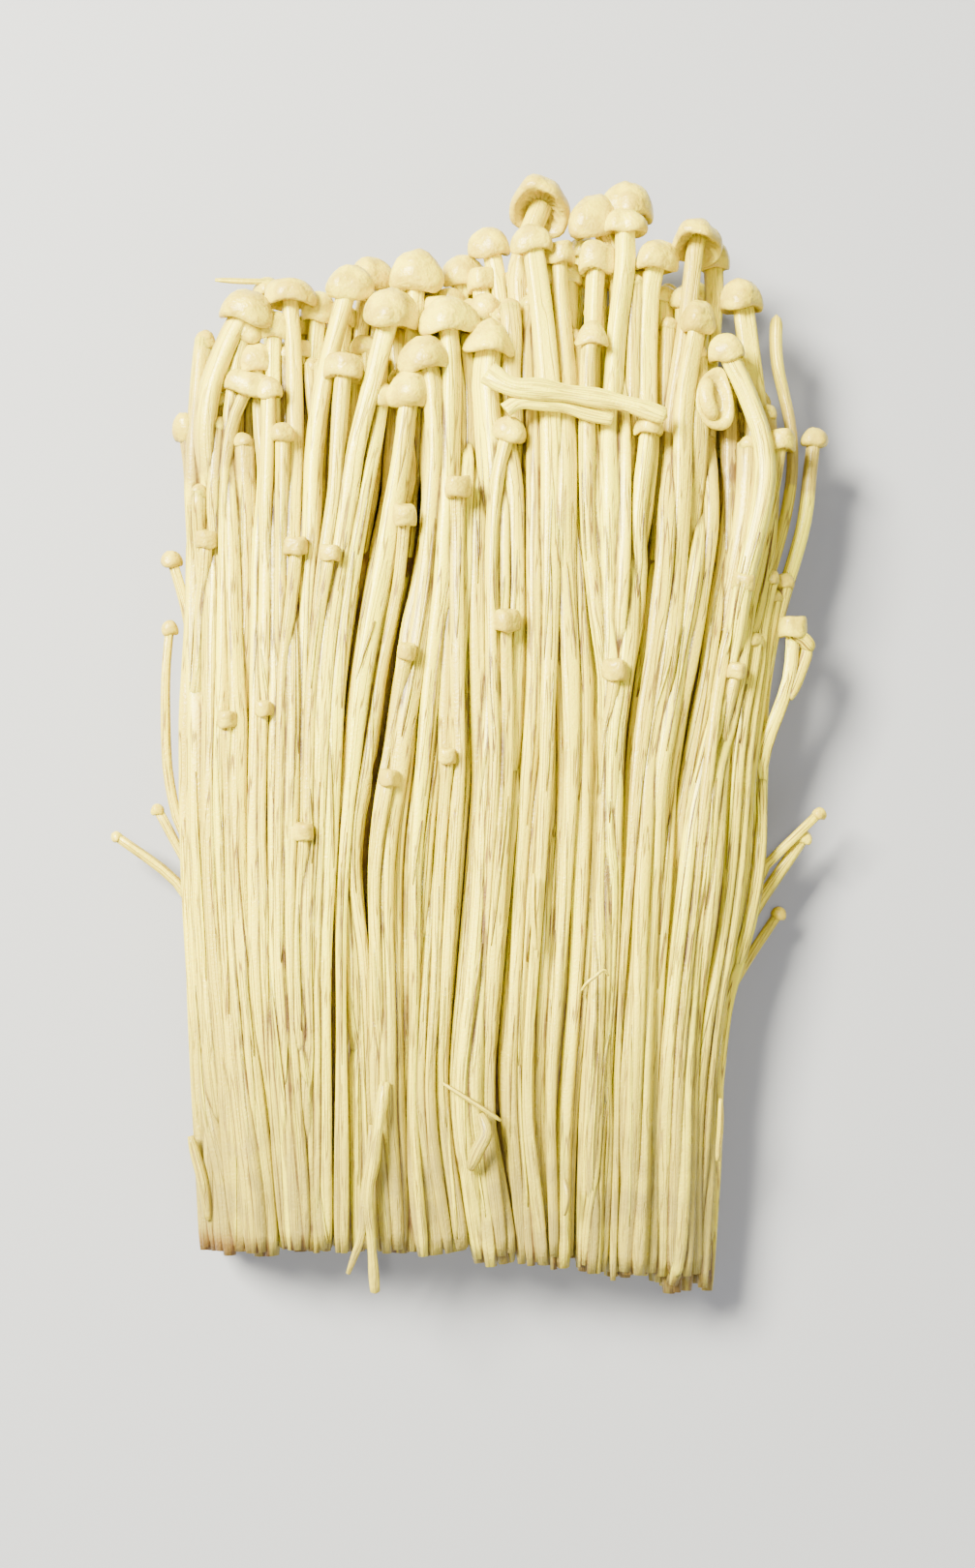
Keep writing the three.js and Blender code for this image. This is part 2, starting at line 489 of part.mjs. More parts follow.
// Cuts flat whatever reaches below the table
function cutFlat(shape) {
  const below = new THREE.BoxGeometry(200, 200, 20);
  below.translate(0, 0, -10);
  return shape.subtract(solid(below));
}

function meshOf(name, shape, look) {
  const { vertProperties, triVerts, numProp } = shape.getMesh();
  const geometry = new THREE.BufferGeometry();
  const position = new Float32Array((vertProperties.length / numProp) * 3);
  for (let i = 0; i < position.length / 3; i += 1) {
    position.set(vertProperties.subarray(i * numProp, i * numProp + 3), i * 3);
  }
  geometry.setAttribute('position', new THREE.BufferAttribute(position, 3));
  geometry.setIndex(new THREE.BufferAttribute(triVerts, 1));
  geometry.computeVertexNormals();
  const mesh = new THREE.Mesh(geometry, new THREE.MeshStandardMaterial(look));
  mesh.name = name;
  return mesh;
}

const bunch = new THREE.Group();
const tufts = FOOT.map((_, tuft) => growTuft(tuft));
const loose = LOOSE_STEMS.map(looseStem);
const everything = [...tufts.flat(), ...loose];
everything.forEach((one) => {
  one.box = one.space.boundingBox();
});

tufts.forEach((grown, tuft) => {
  const cleared = grown.map((one) => clearOfOthers(one.shape, tuft, one.rank, everything));
  const core = clearOfOthers(coreSolid(tuft, stream(SEED + tuft)), tuft, 0, everything);
  const joined = cleared.reduce((all, one) => all.add(one), core);
  const name = `tuft_${String(tuft + 1).padStart(2, '0')}`;
  bunch.add(meshOf(name, largestBody(cutFlat(joined)), tuft % 2 ? SHADED : FRESH));
});
loose.forEach(({ name, shape }) => bunch.add(meshOf(name, shape, FRESH)));

export default bunch;
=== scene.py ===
import math
from dataclasses import dataclass

import bpy
import numpy as np
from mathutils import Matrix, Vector


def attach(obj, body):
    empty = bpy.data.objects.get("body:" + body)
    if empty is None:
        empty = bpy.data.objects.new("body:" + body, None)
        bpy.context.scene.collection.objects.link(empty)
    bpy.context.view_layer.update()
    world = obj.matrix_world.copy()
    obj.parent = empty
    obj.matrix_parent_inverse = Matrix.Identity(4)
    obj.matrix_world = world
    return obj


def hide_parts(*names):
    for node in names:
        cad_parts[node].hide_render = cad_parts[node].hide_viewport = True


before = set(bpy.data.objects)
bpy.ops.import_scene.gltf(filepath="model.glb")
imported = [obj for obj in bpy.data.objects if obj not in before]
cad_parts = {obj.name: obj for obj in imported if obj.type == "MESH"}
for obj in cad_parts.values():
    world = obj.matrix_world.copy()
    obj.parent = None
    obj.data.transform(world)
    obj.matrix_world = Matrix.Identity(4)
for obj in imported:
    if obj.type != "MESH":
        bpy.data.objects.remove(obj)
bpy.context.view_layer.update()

# A bunch of enoki mushrooms lying on its side, the heads towards +Y and the cut foot towards -Y.
# Every mushroom is laid out on its own, in millimetres, and the made meshes are in metres.
METRE = 0.001
SEED = 41

# Lines between the tufts from the left side to the right, each as (y, x) from the foot up
PARTINGS = [
    [(-66, -37.9), (-61, -38.1), (-45, -39.3), (-36, -39.9), (-20, -40.8), (-9, -41.4), (2, -41.5),
     (8, -41.3), (21, -41.1), (34, -40.8), (47, -40.3)],
    [(-66, -26.5), (-54, -27.6), (-42, -29.5), (-30, -30.8), (-13, -31.6), (19, -31.3), (45, -31.4)],
    [(-66, -20.8), (-30, -20.9), (-18, -20.4), (4, -19.4), (12, -18.6), (22, -16.4), (27, -15.2),
     (34, -14.2), (42, -13.5)],
    [(-66, -15.4), (-30, -15.8), (-19, -16.8), (-12, -16.4), (-5, -15), (8, -13.4), (17, -11.4),
     (26, -10), (42, -9.5)],
    [(-66, -2.7), (-53, -5.3), (-45, -6.1), (-28, -4.5), (-6, -2.8), (12, -3.2), (27, -3), (42, -2.6)],
    [(-66, 2.6), (-49, -0.4), (-42, -0.4), (-30, 0.7), (-6, 2.8), (14, 3.6), (27, 4.1), (42, 3.8)],
    [(-66, 10.2), (-48, 10.6), (-30, 12.1), (-6, 13.2), (8, 13.2), (13, 12.2), (27, 10.6), (42, 10)],
    [(-67, 13.6), (-42, 14.6), (-18, 15.8), (-1, 16.4), (7, 17.6), (14, 18.9), (32, 20.6), (40, 21.4)],
    [(-68, 20), (-42, 20.5), (-24, 21.6), (-6, 23), (7, 26.3), (20, 28.5), (36, 29.7), (42, 29.2)],
    [(-71, 27.9), (-55, 28.9), (-45, 29.3), (-36, 30.4), (-31, 31.7), (-24, 34.2), (-17, 35.6),
     (-9, 35.4), (5, 36.1), (16, 37.9), (21, 39.8), (26, 41.6), (34, 42.6), (42, 41.2)],
]
HEIGHT = [(-72, 14.5), (-58, 16.5), (-40, 18.5), (-10, 20), (20, 20), (40, 20.5)]
BACK_POWER = 3.2
BACK_REACH = 0.97
FOOT = [-66, -65.2, -65.2, -65.4, -66.4, -66.8, -67.2, -68.6, -70]
RAGGED = [0.4, 0.4, 0.5, 0.6, 0.8, 0.9, 1.0, 1.2, 1.3]
TUFTS = len(FOOT)

# The heads that stand free: tuft, middle of the cap, its width and length, the stem's diameter,
# the stem's way down, and the cap's form
HEADS = [
    (0, (-32.3, 55.9, 16), 7.2, 4.6, 2.8, [(-33.8, 54), (-37.4, 45), (-38.1, 36)], "dome"),
    (0, (-32.6, 53.2, 15), 4.4, 4.2, 2, [(-33.6, 51), (-34.8, 40)], "egg"),
    (0, (-32.1, 45.7, 15.4), 6.3, 3.4, 1.9, [(-33.6, 44.7), (-35.3, 35)], "flat"),
    (0, (-38.2, 52, 14), 2.9, 3, 2.7, [(-38.4, 50.5), (-38.7, 47), (-39.1, 40), (-39.4, 30)], "button"),
    (0, (-40.8, 40.4, 13.6), 3.2, 4.2, 1.6, [(-40.4, 38.4), (-39.6, 32)], "egg"),
    (1, (-27.1, 58, 15), 6.6, 3.8, 2.5, [(-26.9, 56.1), (-26.5, 51.9), (-25.9, 35)], "flat"),
    (1, (-23.4, 57.2, 12.5), 5, 4.4, 2.2, [(-23.8, 55.6), (-24.4, 38)], "dome"),
    (1, (-18.9, 58.8, 17), 6, 4.8, 2.7, [(-19.6, 56.6), (-22.5, 44.7), (-23.7, 33)], "egg"),
    (1, (-16.6, 62.4, 11), 6, 4.6, 2.3, [(-17.2, 60), (-19.3, 44), (-20.7, 36)], "dome"),
    (1, (-13.4, 55, 18), 7.6, 5.4, 2.8, [(-14.2, 52), (-16, 44.4), (-18.4, 34)], "dome"),
    (1, (-19.5, 46.8, 18.4), 5.2, 3.4, 2.4, [(-19.8, 45), (-20.4, 33.6)], "collar"),
    (1, (-28.9, 53.8, 15), 4.2, 3.8, 1.9, [(-29.1, 52), (-28.9, 36.4)], "dome"),
    (1, (-31.3, 49.6, 14.6), 4.9, 4, 1.9, [(-31.2, 47.6), (-30.6, 36)], "dome"),
    (1, (-29.4, 44.7, 17), 3.6, 3, 2, [(-29.4, 43), (-29.4, 33)], "dome"),
    (1, (-27.5, 38.5, 17.6), 3.5, 2.8, 1.9, [(-27.5, 37), (-27.4, 29)], "egg"),
    (1, (-31, 61.9, 7), 4.4, 3, 1.8, [(-31, 60.4), (-30.4, 50.7), (-29.6, 39.9)], "dome"),
    (1, (-14.7, 43.8, 17), 4.3, 3.2, 2, [(-14.9, 42.1), (-16, 34.4)], "dome"),
    (2, (-10.5, 61.5, 13.5), 7.2, 6.4, 2.6, [(-10.7, 58.5), (-11.2, 43.4), (-11.7, 35.5)], "egg"),
    (2, (-11, 44.2, 18), 6, 5.4, 2.7, [(-11.4, 41.1), (-12.2, 33)], "egg"),
    (3, (-6.3, 54.2, 17.5), 7.5, 5.2, 2.8, [(-5.9, 51), (-5.8, 44.5), (-6.1, 35)], "dome"),
    (3, (-9.2, 48.9, 18.4), 6.8, 4.6, 2.5, [(-8.2, 47), (-7.5, 35)], "dome"),
    (3, (-4.4, 63.1, 10), 5.9, 4.6, 2.1, [(-4.5, 60.9), (-4.6, 41.7)], "dome"),
    (4, (-2, 61, 6), 5, 4, 2.1, [(-1.9, 59), (-0.9, 41.3)], "dome"),
    (4, (-0.9, 66.3, 12), 5.6, 4.2, 2.6, [(-0.2, 64), (1.1, 53.9), (1.4, 43.4)], "dome"),
    (4, (-1.4, 57, 13.5), 4.2, 3.4, 2, [(-1.3, 55), (0, 39.3)], "egg"),
    (4, (-0.7, 51.4, 17), 7.2, 5.2, 3.2, [(-1.4, 49.1), (-1.4, 44.7), (-0.6, 35)], "cone"),
    (4, (1.8, 38.6, 18.6), 4.6, 3.6, 2, [(1.2, 36.9), (0.1, 33.2), (-0.3, 27.5)], "egg"),
    (5, (6.1, 71.2, 12.5), 8.2, 5.6, 2.7, [(5.3, 68.7), (3.4, 64.7), (2.4, 60.9), (3.6, 54.3), (5.2, 45)],
     "hood"),
    (5, (4.7, 64.7, 17), 5.4, 4, 2.7, [(5, 62.8), (6.1, 53.9), (7, 42)], "dome"),
    (5, (8.4, 63.2, 15.4), 4.4, 3.2, 2.5, [(8.3, 61.5), (8.7, 54.5), (9.7, 43)], "collar"),
    (5, (12, 67.6, 7), 4.6, 3.2, 2.1, [(11.4, 65.8), (10, 45.3)], "dome"),
    (6, (13.3, 62.6, 15), 5.2, 4.2, 2.4, [(13.1, 60.4), (12.7, 54.5), (12.6, 40)], "collar"),
    (6, (12.5, 51.6, 18), 4.4, 3.6, 2.1, [(11.9, 49.9), (11.9, 44.5), (11.7, 38)], "cone"),
    (6, (13.3, 69.2, 13.8), 8, 5.8, 2.2, [(14.6, 68), (16.4, 60), (15.6, 42)], "lobed"),
    (6, (17.6, 71.2, 14), 6.6, 5.2, 2, [(17, 68), (16.6, 60), (16.2, 44)], "lobed"),
    (6, (16.9, 67.4, 16), 5.6, 3.6, 2.7, [(17.2, 66.2), (16.8, 59.2), (15.8, 52.6), (14.9, 40)], "lobed"),
    (6, (21.3, 63.2, 15), 6.1, 4.4, 2.6, [(20.5, 61.1), (19.8, 54.5), (19.4, 38.9)], "dome"),
    (6, (19.7, 39, 18.6), 4, 2.6, 2.1, [(19.6, 37.6), (18.9, 32.6), (18, 26.3)], "flat"),
    (7, (26.6, 65.7, 15), 6.9, 5, 2.6, [(26.2, 63.6), (25.1, 54.1), (23.2, 42.4), (22.4, 35.3)], "nubbed"),
    (7, (29.2, 65, 10.5), 5, 4.4, 2.3, [(29.6, 63.4), (28.8, 53.3), (27.6, 40)], "dome"),
    (7, (26.4, 53.9, 17.5), 5, 4.6, 2.3, [(26, 51.6), (24.4, 43.9), (23.8, 36)], "egg"),
    (7, (28.1, 42.9, 17), 5.2, 8.2, 2, [(28.4, 40.8), (27.2, 30)], "upturned"),
    (8, (32.5, 58.6, 13), 6, 4.6, 2.6, [(32.9, 56.6), (33.8, 47), (34.5, 40.8)], "dome"),
    (8, (29.7, 49.9, 17.5), 4.6, 3.8, 2.4, [(31.5, 46.4), (33.6, 40.8), (34.8, 37.4), (35, 33.1),
     (34.3, 28.9), (32.9, 23.3), (31, 16)], "dome"),
    (8, (37.5, 56.6, 11), 1.5, 2.2, 1.7, [(37.2, 53.7), (37.5, 48), (39, 43.6), (39.5, 36.5), (39, 32.6),
     (37.8, 27), (35.4, 19.2)], "point"),
    (8, (37.1, 38.2, 15), 4.1, 3, 1.9, [(36.8, 35.5), (36.1, 31.6), (35, 26.1), (34, 21)], "collar"),
    (8, (42.5, 40.1, 10), 3.6, 2.8, 1.8, [(42, 38.6), (41.8, 34.2), (41.1, 28.5), (39.8, 24.2), (38.1, 19),
     (35.4, 9.9)], "egg"),
]

# Small caps on the back of the bunch: tuft, (x, y), cap width, stem diameter
SMALL_CAPS = [
    (0, (-37.5, 25.2), 2.9, 1.9), (0, (-34.2, 1.4), 2.7, 1.5), (1, (-25.4, 23.2), 3, 1.7),
    (1, (-21, 22.2), 2.6, 1.6), (1, (-24, -13.2), 2.6, 1.6), (1, (-29.4, 2.5), 2.4, 1.3),
    (2, (-11.6, 27), 3.2, 1.6), (3, (-4.8, 30.6), 3.4, 1.8), (3, (-11.2, 9.4), 2.5, 1.6),
    (3, (-6.1, -3.8), 2.4, 1.5), (3, (-13.4, -6.5), 2.6, 1.7), (4, (1.4, 13.4), 3.4, 1.7),
    (6, (15, 7.2), 3.2, 1.8), (8, (31.8, 19.1), 2.9, 1.6), (8, (30.8, 7.7), 2.5, 1.6),
]

# Thin strays out of the two sides: tuft, tip, width and length of the pin head, stem, way in
STRAYS = [
    (0, (-43.2, 24.1, 8), 2.9, 2.4, 1.3, [(-42.8, 22.6), (-40.2, 15)], "egg"),
    (0, (-43.4, 15, 7), 2.2, 2.2, 1.3, [(-43.7, 13.4), (-43.9, 6), (-43.5, -4), (-41.6, -13)], "egg"),
    (0, (-44.8, -9.2, 6), 1.8, 1.6, 1.2, [(-44.2, -10.4), (-40.4, -17)], "egg"),
    (0, (-50.2, -12.8, 6), 1.5, 1.4, 1.3, [(-49, -13.6), (-44, -16.8), (-38.6, -22)], "button"),
    (8, (38.9, 14.3, 11), 3.7, 3, 1.7, [(38.9, 12), (38.7, 8), (37.8, 5), (36, 1.4), (33.8, -5)], "collar"),
    (8, (42.6, -9.9, 8), 1.8, 1.6, 1.1, [(41.6, -11.4), (35, -16.6)], "egg"),
    (8, (40.7, -13, 7), 2.1, 1.8, 1.5, [(39.8, -14.4), (32.4, -24.6)], "egg"),
    (8, (37.5, -22.9, 5), 2.1, 1.8, 1.4, [(36.7, -23.9), (31, -32.6)], "egg"),
]

# Stems without caps that lie on the bunch: name, diameter, way
LOOSE_STEMS = {
    "loose_stem_across_upper": (2.7, [(-0.9, 45.4, 20.4), (1, 43.9, 21), (2.8, 43.2, 21.3),
                                      (5.9, 43, 21.2), (10.8, 42.3, 21), (14.5, 41.7, 20.9),
                                      (17.6, 40.9, 21), (21.4, 39.6, 21)]),
    "loose_stem_across_lower": (2.3, [(1.2, 40.4, 20.6), (3, 41.5, 20.6), (5.4, 41.6, 20.4),
                                      (8.4, 41.2, 20.2), (11.4, 40.3, 20.1), (14.8, 39.5, 20)]),
    "loose_stem_foot": (1.5, [(-13.7, -44.3, 18.2), (-14.4, -49.2, 18.7), (-15, -53.9, 18.5),
                              (-15.7, -58.6, 18), (-15.3, -64.4, 17.2), (-14.9, -70, 16.4)]),
}
PRESSED_FLAT = 0.62

# Thin strands and broken bits that cling to the bunch: tuft, diameter, way
BITS = [
    (1, 0.8, [(-37.8, 62.2, 9), (-34.2, 62, 9), (-30.9, 62.1, 8.5), (-27.6, 61.8, 8)]),
    (2, 1.1, [(-15.4, -49.5, 18.4), (-15.6, -53.5, 18), (-16.3, -58.5, 17.6), (-16.6, -62.9, 17.4),
              (-17.4, -65.4, 16.8), (-18.3, -67.8, 16.2)]),
    (5, 0.45, [(10.5, -33.1, 20), (11.2, -32.1, 20.6), (12.1, -31.4, 20.8), (13.3, -30.5, 20.7),
               (13.9, -31.2, 20.2)]),
    (0, 1.3, [(-38.9, -51.5, 11), (-38.2, -53.9, 11), (-37.2, -57.5, 11), (-36.6, -62, 10.5)]),
    (4, 0.6, [(-6.6, -44.4, 18.6), (-4, -46, 19), (-1.4, -47.6, 19.1), (0.6, -49, 18.6)]),
    (4, 1.5, [(-1.9, -48.2, 18.2), (-1.2, -50.4, 18.9), (-2.2, -52.6, 18.8), (-3.2, -55, 17.8)]),
    (6, 0.8, [(8.4, -56.2, 17.6), (8.8, -58.2, 18.1), (8.4, -60.6, 17.4)]),
    (7, 2.6, [(30.2, 47, 12.5), (30.7, 40, 13.4), (30.8, 33, 14), (30.2, 22, 14.6)]),
    (8, 3, [(32.4, 48, 11.4), (33.6, 41, 12.2), (33.5, 34, 13), (32.2, 22, 14)]),
    (8, 0.8, [(28.2, -46.5, 15), (28.1, -50.1, 14.8), (27.8, -54.3, 14)]),
    (8, 2, [(38.6, 13.2, 11.2), (40.2, 12.7, 11.1), (41.5, 11.4, 10.6)]),
    (8, 1.8, [(40.6, 12.8, 10.4), (40.8, 11.2, 10.3), (40.2, 9.4, 10.5), (39, 6.4, 10.8), (38.3, 4.8, 11)]),
    (6, 0.7, [(4.7, -18.6, 20.6), (4.6, -22.5, 20.6), (4.9, -28, 19.9)]),
]

# Stations along the bunch, at which the stems are packed beside each other
STEP = 3.5
STATIONS = np.arange(-73.5, 77.1, STEP)
BODY_END = 33.0
FRONT = 14.0

# How deep the seam between two tufts is, from the left side to the right, and its width
SEAM_DEPTH = [0, 0.6, 0.8, 1.9, 0.9, 0.6, 0.7, 1.1, 0.7, 0]
SEAM_WIDTH = 0.95
# How far a stem may pass the line between its tuft and the next; below zero the line is a gap
PAST_LINE = [0, 0.4, 0.3, -0.4, 0.2, 0.3, 0.2, -0.1, 0.3, 0]


def along(line, y):
    """The value at y along a line of (y, value)."""
    places, values = zip(*line)
    return np.interp(y, places, values)


def dome(x, y):
    """The smooth top of the bunch over a place on the table."""
    left = along(PARTINGS[0], y)
    right = along(PARTINGS[-1], y)
    off = np.minimum(np.abs((2 * x - left - right) / (right - left)) * BACK_REACH, BACK_REACH)
    return along(HEIGHT, y) * (1 - off ** BACK_POWER) ** (1 / BACK_POWER)


def back(x, y):
    """The top with its swells and with the seams between the tufts."""
    swell = 0.3 * np.sin(x * 1.17 + 0.03 * y + 1.3) + 0.2 * np.sin(x * 2.1 - 0.045 * y)
    seams = 0
    for depth, line in zip(SEAM_DEPTH, PARTINGS):
        seams = seams + depth * np.exp(-((x - along(line, y)) / SEAM_WIDTH) ** 2)
    return dome(x, y) + (swell - seams) * smooth(-y, -34, -18)


def across(tuft, share, y, margin):
    """A place across a tuft, from its left side at 0 to its right side at 1."""
    left = along(PARTINGS[tuft], y) + margin
    right = along(PARTINGS[tuft + 1], y) - margin
    return left + share * np.maximum(right - left, 0)


def share_of(tuft, x, y, margin):
    """The share across a tuft at which a place lies."""
    left = along(PARTINGS[tuft], y) + margin
    right = along(PARTINGS[tuft + 1], y) - margin
    return float(np.clip((x - left) / max(right - left, 0.01), 0, 1))


def smooth(value, low, high):
    """Rises softly from 0 at low to 1 at high."""
    t = np.clip((value - low) / (high - low), 0, 1)
    return t * t * (3 - 2 * t)


def wander(rng, size):
    """A slow drift along the stations."""
    phase = rng.uniform(0, 2 * math.pi, 3)
    waves = [np.sin(STATIONS / length + p) for length, p in zip((9.0, 17.0, 31.0), phase)]
    return size * (0.3 * waves[0] + 0.5 * waves[1] + 0.7 * waves[2])


@dataclass
class Mushroom:
    """One mushroom: its cap, and where its stem should run at every station."""
    tuft: int
    foot: float
    head: tuple
    wide: float
    long: float
    form: str
    x: np.ndarray
    z: np.ndarray
    radius: np.ndarray
    hold: np.ndarray


# Held stems keep their traced run, the others give way to them
HELD = 0.3
BODY_RADIUS = 0.88
THICKEN_FROM = -42.0


def stem_radius(stem, rng):
    """A stem's radius at each station: thin in the grown-together foot, full at the head."""
    low = min(stem / 2, BODY_RADIUS * rng.uniform(0.5, 1.5))
    full = smooth(STATIONS, THICKEN_FROM, BODY_END + 2)
    uneven = 1 + 0.06 * wander(rng, 1.0)
    return (low + (stem / 2 - low) * full) * uneven


# How deep the heads that are not in front lie, and over which part of the way down from its
# last traced place a stem settles among its neighbours and sinks into the back
BEHIND = 1.2
SETTLES = (2, 40)
SINKS = (-10, 6)


def placed_heads(rng):
    """The heads that stand free, and the small caps on the back."""
    found = []
    for tuft in range(TUFTS):
        mine = [h for h in HEADS if h[0] == tuft]
        smalls = [s for s in SMALL_CAPS if s[0] == tuft]
        order = sorted(mine, key=lambda h: h[5][-1][0])
        for rank, (_, middle, wide, long, stem, way, form) in enumerate(order):
            radius = stem_radius(stem, rng)
            in_front = middle[2] >= FRONT
            ys = [middle[1]] + [p[1] for p in way]
            xs = [middle[0]] + [p[0] for p in way]
            traced = np.interp(STATIONS, ys[::-1], xs[::-1])
            share = share_of(tuft, xs[-1], min(ys[-1], BODY_END), stem / 2)
            even = (rank + 0.5) / len(order)
            settled = smooth(-STATIONS, SETTLES[0] - ys[-1], SETTLES[1] - ys[-1])
            shares = share + (even - share) * settled
            body = across(tuft, shares, STATIONS, radius) + wander(rng, 0.5)
            x = np.where(STATIONS >= ys[-1], traced, body)
            deep = 0.0 if in_front else BEHIND
            ground = back(x, STATIONS) - radius - deep + wander(rng, 0.35)
            height = middle[2] - (BOWL_DEPTH + 1 if form == "upturned" else 0)
            raised = smooth(STATIONS, ys[-1] + SINKS[0], ys[-1] + SINKS[1])
            z = ground + (height - ground) * raised
            loose = 0.14 if in_front else 0.08
            hold = loose + 0.5 * smooth(STATIONS, ys[-1] - 6, ys[-1] + 4)
            foot = FOOT[tuft] + RAGGED[tuft] * rng.uniform(-1, 1)
            found.append(Mushroom(tuft, foot, middle, wide, long, form, x, z, radius, hold))
        for _, (px, py), wide, stem in smalls:
            radius = np.minimum(stem_radius(stem, rng), stem / 2)
            share = share_of(tuft, px, py, wide / 2)
            x = across(tuft, share, STATIONS, radius) + wander(rng, 0.4)
            x += (px - np.interp(py, STATIONS, x)) * smooth(STATIONS, py - 16, py - 3)
            top = back(x, STATIONS) - radius
            z = top + 0.5 * smooth(STATIONS, py - 14, py - 2)
            middle = (px, py, float(back(px, py)) + 0.3)
            hold = 0.12 + 0.45 * smooth(STATIONS, py - 9, py - 2)
            foot = FOOT[tuft] + RAGGED[tuft] * rng.uniform(-1, 1)
            found.append(Mushroom(tuft, foot, middle, wide, 0.85 * wide, "collar", x, z, radius, hold))
    return found


def placed_strays(rng):
    """Strays at the sides, which run on to the foot along the side."""
    found = []
    for tuft, tip, wide, long, stem, way, form in STRAYS:
        ys = [tip[1]] + [p[1] for p in way]
        xs = [tip[0]] + [p[0] for p in way]
        radius = np.full(len(STATIONS), stem / 2)
        traced = np.interp(STATIONS, ys[::-1], xs[::-1])
        side = across(tuft, 0.0 if tuft == 0 else 1.0, STATIONS, radius)
        x = np.where(STATIONS >= ys[-1], traced, side)
        z = np.full(len(STATIONS), float(tip[2]))
        hold = 0.03 + 0.7 * smooth(STATIONS, ys[-1] - 3, ys[-1] + 3)
        foot = FOOT[tuft] + RAGGED[tuft] * rng.uniform(-1, 1)
        found.append(Mushroom(tuft, foot, tip, wide, long, form, x, z, radius, hold))
    return found


# Layers of mushrooms beneath the ones that show, the uppermost first: height in the body as a
# share of the back, lowest and highest place at the head end, spacing across, how far they end
# below the heads, and how strongly they are held
LAYERS = [
    (0.93, (13.0, 15.5), 1.55, (6, 16), 0.05),
    (0.82, (10.5, 12.5), 1.6, (1, 8), 0.04),
    (0.5, (6.5, 9.0), 2.9, (0, 8), 0.03),
    (0.0, (2.2, 3.4), 1.7, (1, 14), 0.05),
    (0.12, (4.0, 6.5), 3.0, (0, 12), 0.03),
]
# Where the heads begin in each tuft, below which the hidden mushrooms end
HEAD_LINE = [54, 58, 60, 60, 63, 67, 66, 62, 50]
LEAST_SHARE_FROM_SIDE = 0.55
SIDE_LAYERS = (0.16, 0.27, 0.38, 0.49, 0.6, 0.7)
PIN_LENGTH = 2.2


def tuck_in(mushroom, end):
    """Ends a mushroom in a pin hardly wider than its stem, between its neighbours."""
    mushroom.head = (mushroom.head[0], end, mushroom.head[2])
    mushroom.form = "button"
    mushroom.wide = 2.1 * mushroom.radius[-1]
    mushroom.long = PIN_LENGTH


def placed_hidden(rng):
    """Mushrooms beneath the ones that show: under the back, through the middle, along the table."""
    found = []

    def add(tuft, share, low, high, stem, head_y, wide, hold):
        radius = stem_radius(stem, rng)
        x = across(tuft, share, STATIONS, radius) + wander(rng, 0.4)
        rise = smooth(STATIONS, 14, 36)
        base = np.maximum(low * back(x, STATIONS) - radius, radius)
        z = base + (high - base) * rise
        foot = FOOT[tuft] + RAGGED[tuft] * rng.uniform(-1, 1.2)
        head_x = float(np.interp(head_y, STATIONS, x)) + rng.uniform(-0.5, 0.5)
        head = (head_x, head_y, max(high, wide / 2))
        held = np.full(len(STATIONS), hold)
        form = ("dome", "egg", "collar")[rng.integers(3)]
        found.append(Mushroom(tuft, foot, head, wide, 0.75 * wide, form, x, z, radius, held))

    for tuft in range(TUFTS):
        width = float(across(tuft, 1.0, -10, 0) - across(tuft, 0.0, -10, 0))
        for layer, (low, heights, pitch, ends, hold) in enumerate(LAYERS):
            count = max(1, round(width / pitch))
            for i in range(count):
                share = (i + 0.5 + rng.uniform(-0.2, 0.2)) / count
                end = HEAD_LINE[tuft] - rng.uniform(*ends)
                add(tuft, share, low, rng.uniform(*heights), rng.uniform(2.0, 2.8), end,
                    rng.uniform(3.2, 4.8), hold)
                if layer == 0 or tuft == TUFTS - 1:
                    tuck_in(found[-1], end)
                if tuft == TUFTS - 1 and share > LEAST_SHARE_FROM_SIDE:
                    tuck_in(found[-1], rng.uniform(8, 22))
                if tuft == 0 and share < 1 - LEAST_SHARE_FROM_SIDE:
                    tuck_in(found[-1], rng.uniform(30, 44))
    for tuft, side, highest in ((0, 0.0, 32), (TUFTS - 1, 1.0, 12)):
        for low in SIDE_LAYERS:
            add(tuft, side, low, rng.uniform(4, 8), rng.uniform(1.5, 2.0),
                rng.uniform(highest - 14, highest), 1.4, 0.04)
            tuck_in(found[-1], found[-1].head[1])
    return found


OVERLAP = 0.8
ROUNDS = 90
PUSH = 0.42
SMOOTHING = 0.3
CAP_ROOM = 0.92
ROOF_ENDS = 26
ABOVE_ROOF = 0.15


